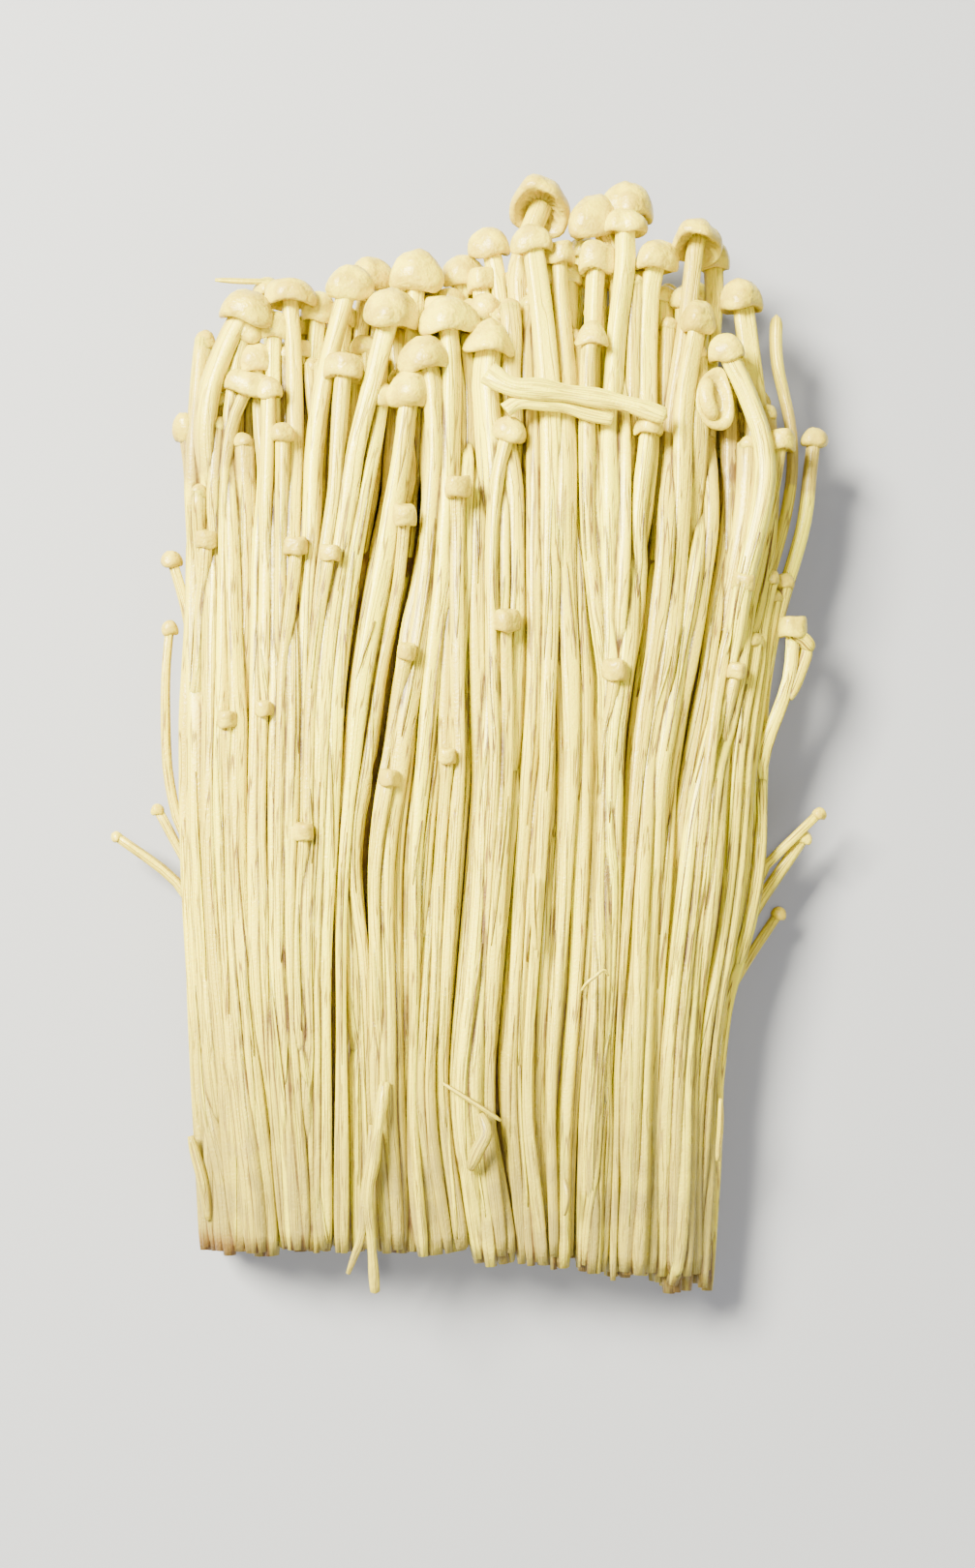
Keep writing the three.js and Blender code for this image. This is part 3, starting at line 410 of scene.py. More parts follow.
def pack(mushrooms):
    """Moves the stems apart at every station, keeping them in the bunch and their runs smooth."""
    x = np.array([m.x for m in mushrooms])
    z = np.array([m.z for m in mushrooms])
    aim_x = x.copy()
    aim_z = z.copy()
    radius = np.array([m.radius for m in mushrooms])
    hold = np.array([m.hold for m in mushrooms])
    head_y = np.array([m.head[1] for m in mushrooms])[:, None]
    cap = np.array([m.wide for m in mushrooms])[:, None] / 2
    long = np.array([m.long for m in mushrooms])[:, None]
    in_cap = np.abs(STATIONS[None] - head_y) < long / 2 + 0.6
    size = np.where(in_cap, np.maximum(cap * CAP_ROOM, radius), radius)
    here = STATIONS[None] < head_y + long / 2 + 0.6
    roofed = STATIONS[None] < ROOF_ENDS
    own = np.array([m.tuft for m in mushrooms])
    lines = np.array([along(line, STATIONS) for line in PARTINGS])
    past = np.array(PAST_LINE)[:, None]
    past = np.where(past < 0, past + 0.5 * smooth(-STATIONS, 12, 32)[None], past)
    left = lines[own] + radius - past[own]
    right = lines[own + 1] - radius + past[own + 1]
    firm = np.clip(hold / (2 * HELD), 0, 1)
    mobile_x = 1 - 0.95 * firm
    mobile_z = 1 - 0.7 * firm
    free = (hold < HELD) & (STATIONS[None] < BODY_END)
    for _ in range(ROUNDS):
        for s in range(len(STATIONS)):
            live = np.nonzero(here[:, s])[0]
            px = x[live, s]
            pz = z[live, s]
            r = size[live, s]
            dx = px[:, None] - px[None]
            dz = pz[:, None] - pz[None]
            gap = np.hypot(dx, dz) + 1e-6
            push = np.clip((r[:, None] + r[None]) * OVERLAP - gap, 0, 1.2)
            np.fill_diagonal(push, 0)
            x[live, s] += PUSH * (push * dx / gap).sum(1).clip(-1, 1) * mobile_x[live, s]
            z[live, s] += PUSH * (push * dz / gap).sum(1).clip(-1, 1) * mobile_z[live, s]
        x += hold * (aim_x - x)
        z += hold * (aim_z - z)
        for v in (x, z):
            v[:, 1:-1] += SMOOTHING * (0.5 * (v[:, :-2] + v[:, 2:]) - v[:, 1:-1])
        top = back(x, STATIONS[None]) - radius
        z = np.where(roofed & (hold < HELD), np.minimum(z, top + ABOVE_ROOF), z)
        z = np.maximum(z, size)
        x = np.where(free, np.clip(x, left, right), x)
    return x, z, radius, head_y[:, 0]


class Clay:
    """Vertices, faces and values of a mesh as it grows."""

    def __init__(self):
        self.vertices = []
        self.faces = []
        self.slots = []
        self.values = {"grain": [], "cleft": [], "depth": [], "tone": [], "mark": []}
        self.count = 0

    def add(self, vertices, faces, slot, **values):
        self.vertices.append(vertices)
        self.faces += [tuple(int(i) + self.count for i in f) for f in faces]
        self.slots += [slot] * len(faces)
        for name, column in self.values.items():
            column.append(values[name])
        self.count += len(vertices)


def catmull(points, count):
    """Points evenly along a smooth curve through the given ones."""
    points = np.asarray(points, float)
    ends = np.vstack([2 * points[0] - points[1], points, 2 * points[-1] - points[-2]])
    fine = []
    for i in range(len(points) - 1):
        a, b, c, d = ends[i:i + 4]
        t = np.linspace(0, 1, 8, endpoint=False)[:, None]
        fine.append(0.5 * (2 * b + (c - a) * t + (2 * a - 5 * b + 4 * c - d) * t ** 2
                           + (3 * b - a - 3 * c + d) * t ** 3))
    fine = np.vstack(fine + [points[-1:]])
    run = np.concatenate([[0], np.cumsum(np.linalg.norm(np.diff(fine, axis=0), axis=1))])
    even = np.linspace(0, run[-1], count)
    return np.column_stack([np.interp(even, run, fine[:, k]) for k in range(3)]), even


def frames(points):
    """Two directions square to the curve at each point, without twist."""
    way = np.gradient(points, axis=0)
    way /= np.linalg.norm(way, axis=1)[:, None]
    side = np.cross(way, np.array([0, 0, 1.0]))
    side /= np.linalg.norm(side, axis=1)[:, None] + 1e-9
    up = np.cross(side, way)
    return way, side, up


def rings(rows, sides, stem=False):
    """The points of rings that follow each other, and the faces between them."""
    index = np.arange(rows * sides).reshape(rows, sides)
    here = index[:-1]
    there = index[1:]
    corners = [here, np.roll(here, -1, axis=1), np.roll(there, -1, axis=1), there]
    if stem:
        corners = [corners[0], corners[3], corners[2], corners[1]]
    return index, np.stack(corners, axis=-1).reshape(-1, 4).tolist()


def fan(point, ring, forwards):
    """The faces from one point to a ring."""
    after = np.roll(ring, -1)
    pairs = zip(ring, after) if forwards else zip(after, ring)
    return [(point, one, other) for one, other in pairs]


SEAM_REACH = 0.32
PRESSED_IN_BODY = 0.7


def pressed(y):
    """How flat a stem is along the bunch: round at the heads, pressed in the body."""
    return 1 - (1 - PRESSED_IN_BODY) * smooth(-y, -44, -16)


def crevice(points, own, packed):
    """How close each point lies to another stem, from 0 in the open to 1 in the seam between them; it sets
    the painted shade in the seams.
    """
    x, z, radius, head_y = packed
    place = (points[:, 1] - STATIONS[0]) / STEP
    low = np.clip(place.astype(int), 0, len(STATIONS) - 2)
    part = np.clip(place - low, 0, 1)[:, None]

    def between(values):
        return values[:, low].T * (1 - part) + values[:, low + 1].T * part

    flat = pressed(points[:, 1])[:, None]
    across_x = points[:, 0][:, None] - between(x)
    across_z = (points[:, 2][:, None] - between(z)) / flat
    middle = np.hypot(across_x, across_z) + 1e-6
    close = 1 - np.clip((middle - between(radius)) / SEAM_REACH, 0, 1)
    close[points[:, 1][:, None] > head_y[None]] = 0
    if own is not None:
        alike = (across_x * across_x[:, own:own + 1] + across_z * across_z[:, own:own + 1])
        alike = alike / middle / middle[:, own:own + 1]
        close = close * (1 - smooth(alike, 0.66, 0.96))
        close[:, own] = 0
    return close.max(1)


HEAD_TOP = 20.0
DEEPEST = 6.0


def hollow(points):
    """How deep a point lies under the bunch's back, from 0 to 1, for the painted shade on what lies buried;
    the heads and the cut are open.
    """
    top = np.where(points[:, 1] < BODY_END, dome(points[:, 0], points[:, 1]), HEAD_TOP)
    inner = smooth(-points[:, 1], -52, -38) * smooth(points[:, 1], -68, -60)
    return np.clip((top - points[:, 2] - 0.5) / DEEPEST, 0, 1) * inner


STEM_SLOT = 0
CAP_SLOT = 1
# How far a stem's cut face is dented and its end domed, as a share of its radius there
CUT_DENT = 0.12
END_DOME = 0.5
# A stem's uneven section: waves round it, their size, and how far they turn in a twist's length
SECTION = [(2, 0.09, 2.0), (3, 0.06, 0.7), (4, 0.05, -0.5)]
TWIST_LENGTH = 38.0
SWELLING = 0.03
SWELLING_LENGTH = 4.1


def tube(clay, points, run, radii, sides, rng, slot, own, packed, tone, flat=1.0, ridged=0.0):
    """A stem from its foot to its head, with an uneven section and closed ends."""
    way, side, up = frames(points)
    angle = np.linspace(0, 2 * math.pi, sides, endpoint=False)
    phase = rng.uniform(0, 2 * math.pi, 3)
    turn = run[:, None] / TWIST_LENGTH
    shape = 1 + SWELLING * np.sin(run[:, None] / SWELLING_LENGTH + phase[2])
    for (waves, size, turns), start in zip(SECTION, phase):
        shape = shape + size * np.cos(waves * angle[None] + turns * turn + start)
    shape = shape + ridged * np.cos(5 * angle[None] + phase[1] - 0.4 * np.sin(turn + phase[0]))
    reach = radii[:, None] * shape
    ring = (points[:, None] + side[:, None] * (reach * np.cos(angle))[..., None]
            + up[:, None] * (np.reshape(flat, (-1, 1)) * reach * np.sin(angle))[..., None])
    count = len(points)
    vertices = ring.reshape(-1, 3)
    first = points[0] + way[0] * CUT_DENT * radii[0]
    last = points[-1] + way[-1] * END_DOME * radii[-1]
    vertices = np.vstack([vertices, first[None], last[None]])
    index, faces = rings(count, sides, stem=True)
    faces += fan(count * sides, index[0], True)
    faces += fan(count * sides + 1, index[-1], False)
    grain = np.stack(np.broadcast_arrays(run[:, None], angle[None] * radii.mean(), tone * 97.0), axis=-1)
    grain = np.vstack([grain.reshape(-1, 3), [[run[0], 0, tone * 97.0]], [[run[-1], 0, tone * 97.0]]])
    # Painted shade values: in the seams where stems touch, and on what lies buried under the back.
    clay.add(vertices, faces, slot, grain=grain, cleft=crevice(vertices, own, packed),
             depth=hollow(vertices), tone=np.full(len(vertices), tone),
             mark=np.zeros(len(vertices)))


# Cap outlines: (radius, height) from the top of the dome to the rim, under it and in to the stem,
# as shares of half the width and of the length
OUTLINES = {
    "dome": [(0.0, 1.0), (0.26, 0.98), (0.5, 0.9), (0.7, 0.77), (0.86, 0.6), (0.955, 0.42),
             (0.99, 0.26), (1.0, 0.13), (0.965, 0.03), (0.89, 0.0), (0.76, 0.07), (0.5, 0.15), (0.3, 0.17)],
    "egg": [(0.0, 1.0), (0.27, 0.98), (0.52, 0.9), (0.74, 0.76), (0.9, 0.58), (0.985, 0.4),
            (1.0, 0.26), (0.93, 0.11), (0.8, 0.02), (0.68, 0.0), (0.6, 0.06), (0.46, 0.12), (0.32, 0.14)],
    "flat": [(0.0, 0.93), (0.22, 0.97), (0.44, 1.0), (0.66, 0.95), (0.84, 0.8), (0.95, 0.58),
             (1.0, 0.34), (0.985, 0.14), (0.93, 0.03), (0.86, 0.08), (0.72, 0.24), (0.5, 0.34), (0.3, 0.36)],
    "cone": [(0.0, 1.0), (0.2, 0.97), (0.38, 0.88), (0.55, 0.74), (0.71, 0.57), (0.85, 0.38),
             (0.95, 0.2), (0.99, 0.08), (0.93, 0.0), (0.84, 0.04), (0.7, 0.1), (0.5, 0.13), (0.36, 0.14)],
    "button": [(0.0, 1.0), (0.34, 0.97), (0.62, 0.86), (0.82, 0.7), (0.94, 0.52), (1.0, 0.36),
               (0.99, 0.22), (0.95, 0.12), (0.9, 0.06), (0.86, 0.03), (0.8, 0.02), (0.7, 0.0), (0.6, 0.0)],
}
OUTLINES["collar"] = [(0.0, 0.94), (0.36, 0.98), (0.66, 1.0), (0.85, 0.94), (0.94, 0.78), (0.975, 0.56),
                      (1.0, 0.34), (0.995, 0.15), (0.96, 0.04), (0.88, 0.0), (0.76, 0.02), (0.58, 0.08),
                      (0.4, 0.1)]
OUTLINES["nubbed"] = [(0.0, 1.1), (0.1, 1.07), (0.2, 0.95), (0.42, 0.88), (0.66, 0.74), (0.85, 0.56),
                      (0.96, 0.36), (1.0, 0.18), (0.96, 0.06), (0.87, 0.02), (0.72, 0.16), (0.5, 0.32),
                      (0.34, 0.36)]
OUTLINES["lobed"] = OUTLINES["dome"]
OUTLINES["torn"] = OUTLINES["flat"]
OUTLINES["upturned"] = OUTLINES["flat"]
OUTLINES["hood"] = [(0.0, 0.94), (0.25, 0.97), (0.48, 0.97), (0.68, 0.9), (0.85, 0.74), (0.95, 0.54),
                    (1.0, 0.32), (0.97, 0.12), (0.88, 0.02), (0.78, 0.05), (0.64, 0.24), (0.46, 0.42),
                    (0.3, 0.46)]
# How far a cap leans from its stem towards the sky
LEAN = {"hood": -0.75, "nubbed": -0.35, "button": 0.1, "collar": 0.12}
USUAL_LEAN = (0.14, 0.42)
# How far a cap sits level although its stem leans sideways
LEVEL = 0.55
# A cap's length along its stem, as a share of the length that its lean shows
LENGTH_SEEN = 0.9
CAP_SIDES = 32
# A cap's unevenness, as shares of its width or length: lobes round it, dents in the dome, the wavy
# rim and its ripples, the tear of a torn one, and the gills from the ring where they begin
LOBES = 0.06
STRONG_LOBES = 0.1
DENTS = 0.036
RIM_WAVE = 0.06
RIPPLE = 0.03
TEAR_DEPTH = 0.55
TEAR_WIDTH = 0.22
GILL_RING = 10
GILL_HEIGHT = 0.054


def cap(clay, middle, axis, wide, long, form, rng, own, packed, tone):
    """A cap with its rolled rim and gills, its axis along the stem."""
    sides = CAP_SIDES
    outline = np.array(OUTLINES[form])
    angle = np.linspace(0, 2 * math.pi, sides, endpoint=False)
    phase = rng.uniform(0, 2 * math.pi, 4)
    strength = STRONG_LOBES if form in ("lobed", "torn") else LOBES
    lobes = (1 + strength * np.cos(2 * angle + phase[0]) + 0.8 * strength * np.cos(3 * angle + phase[1])
             + 0.3 * strength * np.cos(5 * angle + phase[2]))
    share = outline[:, 0][:, None]
    radius = 0.5 * wide * share * (1 + (lobes[None] - 1) * smooth(share, 0.1, 0.8))
    dents = np.cos(4 * angle + phase[1])[None] * np.cos(7 * share + phase[0])
    dents = dents + 0.6 * np.cos(7 * angle + phase[2])[None] * np.cos(4 * share + phase[3])
    radius = radius * (1 + DENTS * dents * smooth(share, 0.15, 0.5))
    wave = RIM_WAVE * long * np.cos(3 * angle + phase[3])[None] * smooth(share, 0.5, 1.0)
    wave = wave + RIPPLE * long * np.cos(2 * angle + phase[2])[None] * np.cos(5 * share + phase[1])
    if form == "torn":
        from_tear = np.mod(angle - phase[2] + math.pi, 2 * math.pi) - math.pi
        tear = np.exp(-(from_tear / TEAR_WIDTH) ** 2)
        radius = radius * (1 - TEAR_DEPTH * tear[None] * smooth(share, 0.2, 0.9))
    height = (outline[:, 1][:, None] - 0.5) * long + wave
    height[GILL_RING:] += np.where(np.arange(sides) % 2, GILL_HEIGHT, -GILL_HEIGHT) * long
    axis = axis / np.linalg.norm(axis)
    side = np.cross(axis, np.array([0, 0, 1.0]))
    if np.linalg.norm(side) < 0.2:
        side = np.cross(axis, np.array([0, 1.0, 0]))
    side /= np.linalg.norm(side)
    up = np.cross(side, axis)
    centre = np.asarray(middle, float)
    lean = rng.uniform(-0.05, 0.05, 2)
    height = height + radius * (lean[0] * np.cos(angle) + lean[1] * np.sin(angle))
    ring = (centre + axis * height[..., None]
            + side * (radius * np.cos(angle))[..., None] + up * (radius * np.sin(angle))[..., None])
    rows = len(outline)
    top = ring[0].mean(0)
    under = centre + axis * (outline[-1, 1] - 0.5) * long
    vertices = np.vstack([ring[1:].reshape(-1, 3), top[None], under[None]])
    index, faces = rings(rows - 1, sides)
    faces += fan(index.size, index[0], False)
    faces += fan(index.size + 1, index[-1], True)
    spread = np.broadcast_to(share[1:] * wide / 2, (rows - 1, sides))
    grain = np.stack([spread, np.broadcast_to(angle[None] * wide / 2, spread.shape),
                      np.full(spread.shape, tone * 97.0)], axis=-1).reshape(-1, 3)
    grain = np.vstack([grain, [[0, 0, tone * 97.0]], [[0, 0, tone * 97.0]]])
    mark = np.concatenate([np.repeat(np.linspace(0.05, 1, rows - 1), sides), [0.0], [1.0]])
    # Painted shade values for the cap: weaker in the seams, and on caps that lie buried.
    clay.add(vertices, faces, CAP_SLOT, grain=grain, cleft=crevice(vertices, own, packed) * 0.7,
             depth=hollow(vertices) * 0.6, tone=np.full(len(vertices), tone), mark=mark)


def bean(clay, middle, wide, long, rng, packed, tone):
    """A cap turned over towards the sky: a long bowl with a rolled rim, the fold inside it, and painted
    shade inside the bowl.
    """
    sides = 36
    outline = np.array([(0.28, -0.55), (0.55, -0.5), (0.8, -0.34), (0.95, -0.12), (1.0, 0.1), (0.96, 0.26),
                        (0.86, 0.33), (0.74, 0.28), (0.62, 0.12), (0.5, 0.0), (0.38, -0.04), (0.26, 0.06),
                        (0.14, 0.16)])
    angle = np.linspace(0, 2 * math.pi, sides, endpoint=False)
    uneven = 1 + 0.06 * np.cos(3 * angle + 0.8) + 0.05 * np.cos(2 * angle + 2.1)
    share = outline[:, 0][:, None] * uneven[None]
    x = middle[0] + 0.5 * wide * share * np.cos(angle) + 0.12 * long * (share * np.sin(angle)) ** 2
    y = middle[1] + 0.5 * long * share * np.sin(angle)
    z = middle[2] + 0.42 * wide * (outline[:, 1][:, None] + 0.06 * np.cos(2 * angle + 0.4)[None])
    rows = len(outline)
    vertices = np.stack([x, y, z], axis=-1).reshape(-1, 3)
    ends = np.array([vertices[:sides].mean(0), vertices[-sides:].mean(0)])
    vertices = np.vstack([vertices, ends])
    fold, run = catmull([(middle[0] - 0.1 * wide, middle[1] + 0.36 * long, middle[2] + 0.02 * wide),
                         (middle[0] - 0.17 * wide, middle[1] + 0.12 * long, middle[2] + 0.1 * wide),
                         (middle[0] - 0.1 * wide, middle[1] - 0.12 * long, middle[2] + 0.12 * wide),
                         (middle[0] + 0.04 * wide, middle[1] - 0.34 * long, middle[2] + 0.03 * wide)], 14)
    thick = 0.21 * wide * np.sqrt(np.clip(1 - (2 * run / run[-1] - 1) ** 4, 0.02, 1))
    tube(clay, fold, run, thick, 14, rng, CAP_SLOT, None, packed, tone)
    index, faces = rings(rows, sides)
    faces += fan(index.size, index[0], False)
    faces += fan(index.size + 1, index[-1], True)
    count = len(vertices)
    # Painted shade inside the bowl, deepening from its rim in.
    inside = np.concatenate([np.repeat(np.clip((np.arange(rows) - 6) / 4, 0, 1), sides), [0.0, 0.6]])
    clay.add(vertices, faces, CAP_SLOT, grain=vertices, cleft=0.6 * inside, depth=0.35 * inside,
             tone=np.full(count, tone), mark=np.full(count, 0.2))


CORE_ROWS = [-52, -36, -20, -4, 12, 22, 28]
CORE_BEHIND_CUT = 1.2
CORE_SIDE_IN = 2.6
CORE_BELOW_BACK = 2.6
CORE_ABOVE_TABLE = 1.9


def core(clay, tuft):
    """The grown-together inside of a tuft, painted in full shade between the stems that cover it."""
    rows = np.array([FOOT[tuft] + CORE_BEHIND_CUT] + CORE_ROWS, float)
    if tuft == TUFTS - 1:
        rows = rows[:-2]
    shares = np.linspace(0, 1, 5)
    y = rows[:, None]
    x = across(tuft, shares[None], y, 0)
    if tuft == 0:
        x = np.maximum(x, along(PARTINGS[0], y) + CORE_SIDE_IN)
    if tuft == TUFTS - 1:
        x = np.minimum(x, along(PARTINGS[-1], y) - CORE_SIDE_IN)
    top = back(x, y) - CORE_BELOW_BACK
    top[-1] *= 0.7
    bottom = np.full_like(top, CORE_ABOVE_TABLE)
    ys = np.broadcast_to(y, x.shape)
    upper = np.stack([x, ys, top], axis=-1)
    lower = np.stack([x, ys, bottom], axis=-1)[:, ::-1]
    ring = np.concatenate([upper, lower], axis=1)
    index, faces = rings(*ring.shape[:2])
    faces.append(tuple(index[0][::-1].tolist()))
    faces.append(tuple(index[-1].tolist()))
    vertices = ring.reshape(-1, 3)
    size = len(vertices)
    grain = np.column_stack([vertices[:, 1], vertices[:, 0], np.full(size, 5.0)])
    # Fully painted shade: the core stands where only shadow shows between the stems.
    clay.add(vertices, faces, STEM_SLOT, grain=grain, cleft=np.ones(size), depth=np.ones(size),
             tone=np.full(size, 0.4), mark=np.zeros(size))


CUT_SPACING = 1.75
CUT_ROWS = 8
CUT_ROW_HEIGHT = 1.6


def cut_ends(clay, tuft, rng, packed):
    """Short cut stems that fill the foot's cut face between the outer ones."""
    foot = FOOT[tuft]
    x0 = float(across(tuft, 0.0, foot, 0.9))
    x1 = float(across(tuft, 1.0, foot, 0.9))
    columns = max(1, round((x1 - x0) / CUT_SPACING))
    for i in range(columns + 1):
        for j in range(CUT_ROWS):
            x = x0 + (x1 - x0) * i / columns + rng.uniform(-0.3, 0.3) + (0.8 if j % 2 else 0)
            z = 1.2 + CUT_ROW_HEIGHT * j + rng.uniform(-0.3, 0.3)
            if x > x1 + 0.4 or z > back(x, foot) - CUT_ROW_HEIGHT:
                continue
            radius = rng.uniform(0.75, 1.0)
            end = foot + rng.uniform(-0.5, 0.9)
            points, run = catmull([(x, end, z), (x + 0.1, end + 4, z), (x, end + 9, z)], 4)
            tube(clay, points, run, np.full(4, radius), 8, rng, STEM_SLOT, None, packed, rng.uniform(0, 1))


STRAND_FLAT = 0.8


def cling(clay, tuft, packed):
    """The thin strands and broken bits on a tuft, narrowing to their ends."""
    for number, (own_tuft, diameter, way) in enumerate(BITS):
        if own_tuft != tuft:
            continue
        points, run = catmull(way, 14)
        radii = 0.5 * diameter * (1 - 0.45 * (2 * run / run[-1] - 1) ** 4)
        tube(clay, points, run, radii, 8, np.random.default_rng(SEED + 60 + number), STEM_SLOT, None,
             packed, 0.5, STRAND_FLAT)


STRANDS_ABOVE = 13.5
STRANDS_PER_STEM = 3
STRAND_SHORTEST = 5


def peel(clay, tuft, mushrooms, packed):
    """Fine strands that have come loose along the stems of the back."""
    x, z, radius, head_y = packed
    for number, mushroom in enumerate(mushrooms):
        rng = np.random.default_rng(SEED + 5000 + number)
        if mushroom.tuft != tuft or z[number].max() < STRANDS_ABOVE:
            continue
        for _ in range(STRANDS_PER_STEM):
            low = rng.uniform(mushroom.foot + 0.5, 24)
            high = min(low + rng.uniform(7, 30), head_y[number] - 6)
            offset = rng.uniform(-0.75, 0.75, 2)
            size = rng.uniform(0.1, 0.24)
            if high < low + STRAND_SHORTEST:
                continue
            ys = np.linspace(low, high, 7)
            off = np.linspace(offset[0], offset[1], 7)
            own = np.interp(ys, STATIONS, radius[number]) * (1 + GROWN_TOGETHER * smooth(-ys, 34, 62))
            way = np.column_stack([
                np.interp(ys, STATIONS, x[number]) + off * own,
                ys,
                np.interp(ys, STATIONS, z[number]) + PRESSED_IN_BODY * own * np.sqrt(1 - off ** 2),
            ])
            points, run = catmull(way, 12)
            radii = size * (1 - 0.7 * (2 * run / run[-1] - 1) ** 4)
            tube(clay, points, run, radii, 6, rng, STEM_SLOT, None, packed, rng.uniform(0, 0.6), STRAND_FLAT)


def in_scene(name, data):
    """An object with this mesh, lamp or camera, in the scene."""
    made = bpy.data.objects.new(name, data)
    bpy.context.scene.collection.objects.link(made)
    return made


def finish_mesh(name, clay, node):
    """A mesh object from clay, with its values, riding in the place of its node."""
    mesh = bpy.data.meshes.new(name)
    vertices = np.vstack(clay.vertices)
    vertices[:, 2] = np.maximum(vertices[:, 2], 0)
    mesh.from_pydata((vertices * METRE).tolist(), [], clay.faces)
    mesh.polygons.foreach_set("material_index", clay.slots)
    mesh.polygons.foreach_set("use_smooth", [True] * len(clay.faces))
    for key, columns in clay.values.items():
        kind = "FLOAT_VECTOR" if key == "grain" else "FLOAT"
        layer = mesh.attributes.new(key, kind, "POINT")
        if key == "grain":
            layer.data.foreach_set("vector", np.vstack(columns).astype(np.float32).ravel())
        else:
            layer.data.foreach_set("value", np.concatenate(columns).astype(np.float32))
    mesh.materials.append(STEM_FLESH)
    mesh.materials.append(CAP_SKIN)
    mesh.validate()
    mesh.update()
    piece = in_scene(name, mesh)
    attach(piece, "root")
    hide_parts(node)
    return piece


# Materials

def linear(red, green, blue):
    """A colour as the eye reads it, in the renderer's own numbers."""
    def one(value):
        value /= 255
        return value / 12.92 if value <= 0.04045 else ((value + 0.055) / 1.055) ** 2.4
    return (one(red), one(green), one(blue), 1.0)


def group(name, inputs, outputs):
    """An empty shader node group with its named inputs and outputs."""
    tree = bpy.data.node_groups.new(name, "ShaderNodeTree")
    for label, kind, value in inputs:
        socket = tree.interface.new_socket(label, in_out="INPUT", socket_type=kind)
        if value is not None:
            socket.default_value = value
    for label, kind in outputs:
        tree.interface.new_socket(label, in_out="OUTPUT", socket_type=kind)
    start = tree.nodes.new("NodeGroupInput")
    end = tree.nodes.new("NodeGroupOutput")
    return tree, start, end


def node(tree, kind, **settings):
    """A node with its settings."""
    made = tree.nodes.new(kind)
    for key, value in settings.items():
        setattr(made, key, value)
    return made


def attribute(tree, name, output="Fac"):
    """A value that the mesh carries at its points."""
    made = node(tree, "ShaderNodeAttribute", attribute_type="GEOMETRY", attribute_name=name)
    return made.outputs[output]


def maths(tree, operation, first, second=None, third=None, clamp=False):
    """The result of a sum on values that are numbers or sockets."""
    made = node(tree, "ShaderNodeMath", operation=operation, use_clamp=clamp)
    for socket, value in zip(made.inputs, (first, second, third)):
        if value is None:
            continue
        if isinstance(value, (int, float)):
            socket.default_value = value
        else:
            tree.links.new(value, socket)
    return made.outputs[0]


def spread(tree, value, low, high, to_low=0.0, to_high=1.0):
    """A value spread softly from one range to another."""
    made = node(tree, "ShaderNodeMapRange", interpolation_type="SMOOTHSTEP")
    for socket, number in zip(made.inputs[1:5], (low, high, to_low, to_high)):
        socket.default_value = number
    tree.links.new(value, made.inputs[0])
    return made.outputs[0]


def mix(tree, factor, first, second):
    """One colour laid over another by a factor."""
    made = node(tree, "ShaderNodeMix", data_type="RGBA", blend_type="MIX")
    for socket, value in ((made.inputs[0], factor), (made.inputs[6], first), (made.inputs[7], second)):
        if isinstance(value, (int, float, tuple)):
            socket.default_value = value
        else:
            tree.links.new(value, socket)
    return made.outputs[2]


def noise(tree, vector, detail):
    """A noise over a vector."""
    made = node(tree, "ShaderNodeTexNoise")
    made.inputs["Detail"].default_value = detail
    tree.links.new(vector, made.inputs["Vector"])
    return made


def relief(tree, shader, height, strength, distance):
    """The skin's fine relief."""
    made = node(tree, "ShaderNodeBump")
    made.inputs["Strength"].default_value = strength
    made.inputs["Distance"].default_value = distance
    tree.links.new(height, made.inputs["Height"])
    tree.links.new(made.outputs[0], shader.inputs["Normal"])


def grown_fibre():
    """Fine streaks along a stem, and slower watery bands; in the stem's own measure."""
    tree, start, end = group(
        "Grown fibre",
        [("Grain", "NodeSocketVector", None), ("Fineness", "NodeSocketFloat", 1.15),
         ("Length", "NodeSocketFloat", 0.04)],
        [("Streak", "NodeSocketFloat"), ("Band", "NodeSocketFloat")],
    )
    parts = node(tree, "ShaderNodeSeparateXYZ")
    tree.links.new(start.outputs["Grain"], parts.inputs[0])
    run = maths(tree, "MULTIPLY", parts.outputs[0], start.outputs["Length"])
    around = maths(tree, "MULTIPLY", parts.outputs[1], start.outputs["Fineness"])
    joined = node(tree, "ShaderNodeCombineXYZ")
    for socket, value in zip(joined.inputs, (run, around, parts.outputs[2])):
        tree.links.new(value, socket)
    fine = noise(tree, joined.outputs[0], 1.5)
    fine.inputs["Scale"].default_value = 1.6
    slow = noise(tree, joined.outputs[0], 2.0)
    slow.inputs["Scale"].default_value = 0.35
    off_middle = maths(tree, "ABSOLUTE", maths(tree, "SUBTRACT", fine.outputs[0], 0.5))
    tree.links.new(spread(tree, off_middle, 0.004, 0.036, 1.0, 0.0), end.inputs["Streak"])
    tree.links.new(spread(tree, slow.outputs[0], 0.38, 0.66), end.inputs["Band"])
    return tree


def mottling():
    """Soft blotches and fine pits over the skin, in metres."""
    tree, start, end = group(
        "Moist mottling",
        [("Blotch scale", "NodeSocketFloat", 260.0), ("Pit scale", "NodeSocketFloat", 2600.0)],
        [("Blotch", "NodeSocketFloat"), ("Pit", "NodeSocketFloat")],
    )
    place = node(tree, "ShaderNodeTexCoord")
    blotch = noise(tree, place.outputs["Object"], 3.0)
    tree.links.new(start.outputs["Blotch scale"], blotch.inputs["Scale"])
    pit = noise(tree, place.outputs["Object"], 2.0)
    tree.links.new(start.outputs["Pit scale"], pit.inputs["Scale"])
    tree.links.new(spread(tree, blotch.outputs[0], 0.35, 0.68), end.inputs["Blotch"])
    tree.links.new(spread(tree, pit.outputs[0], 0.35, 0.7), end.inputs["Pit"])
    return tree


FIBRE = grown_fibre()
MOTTLING = mottling()


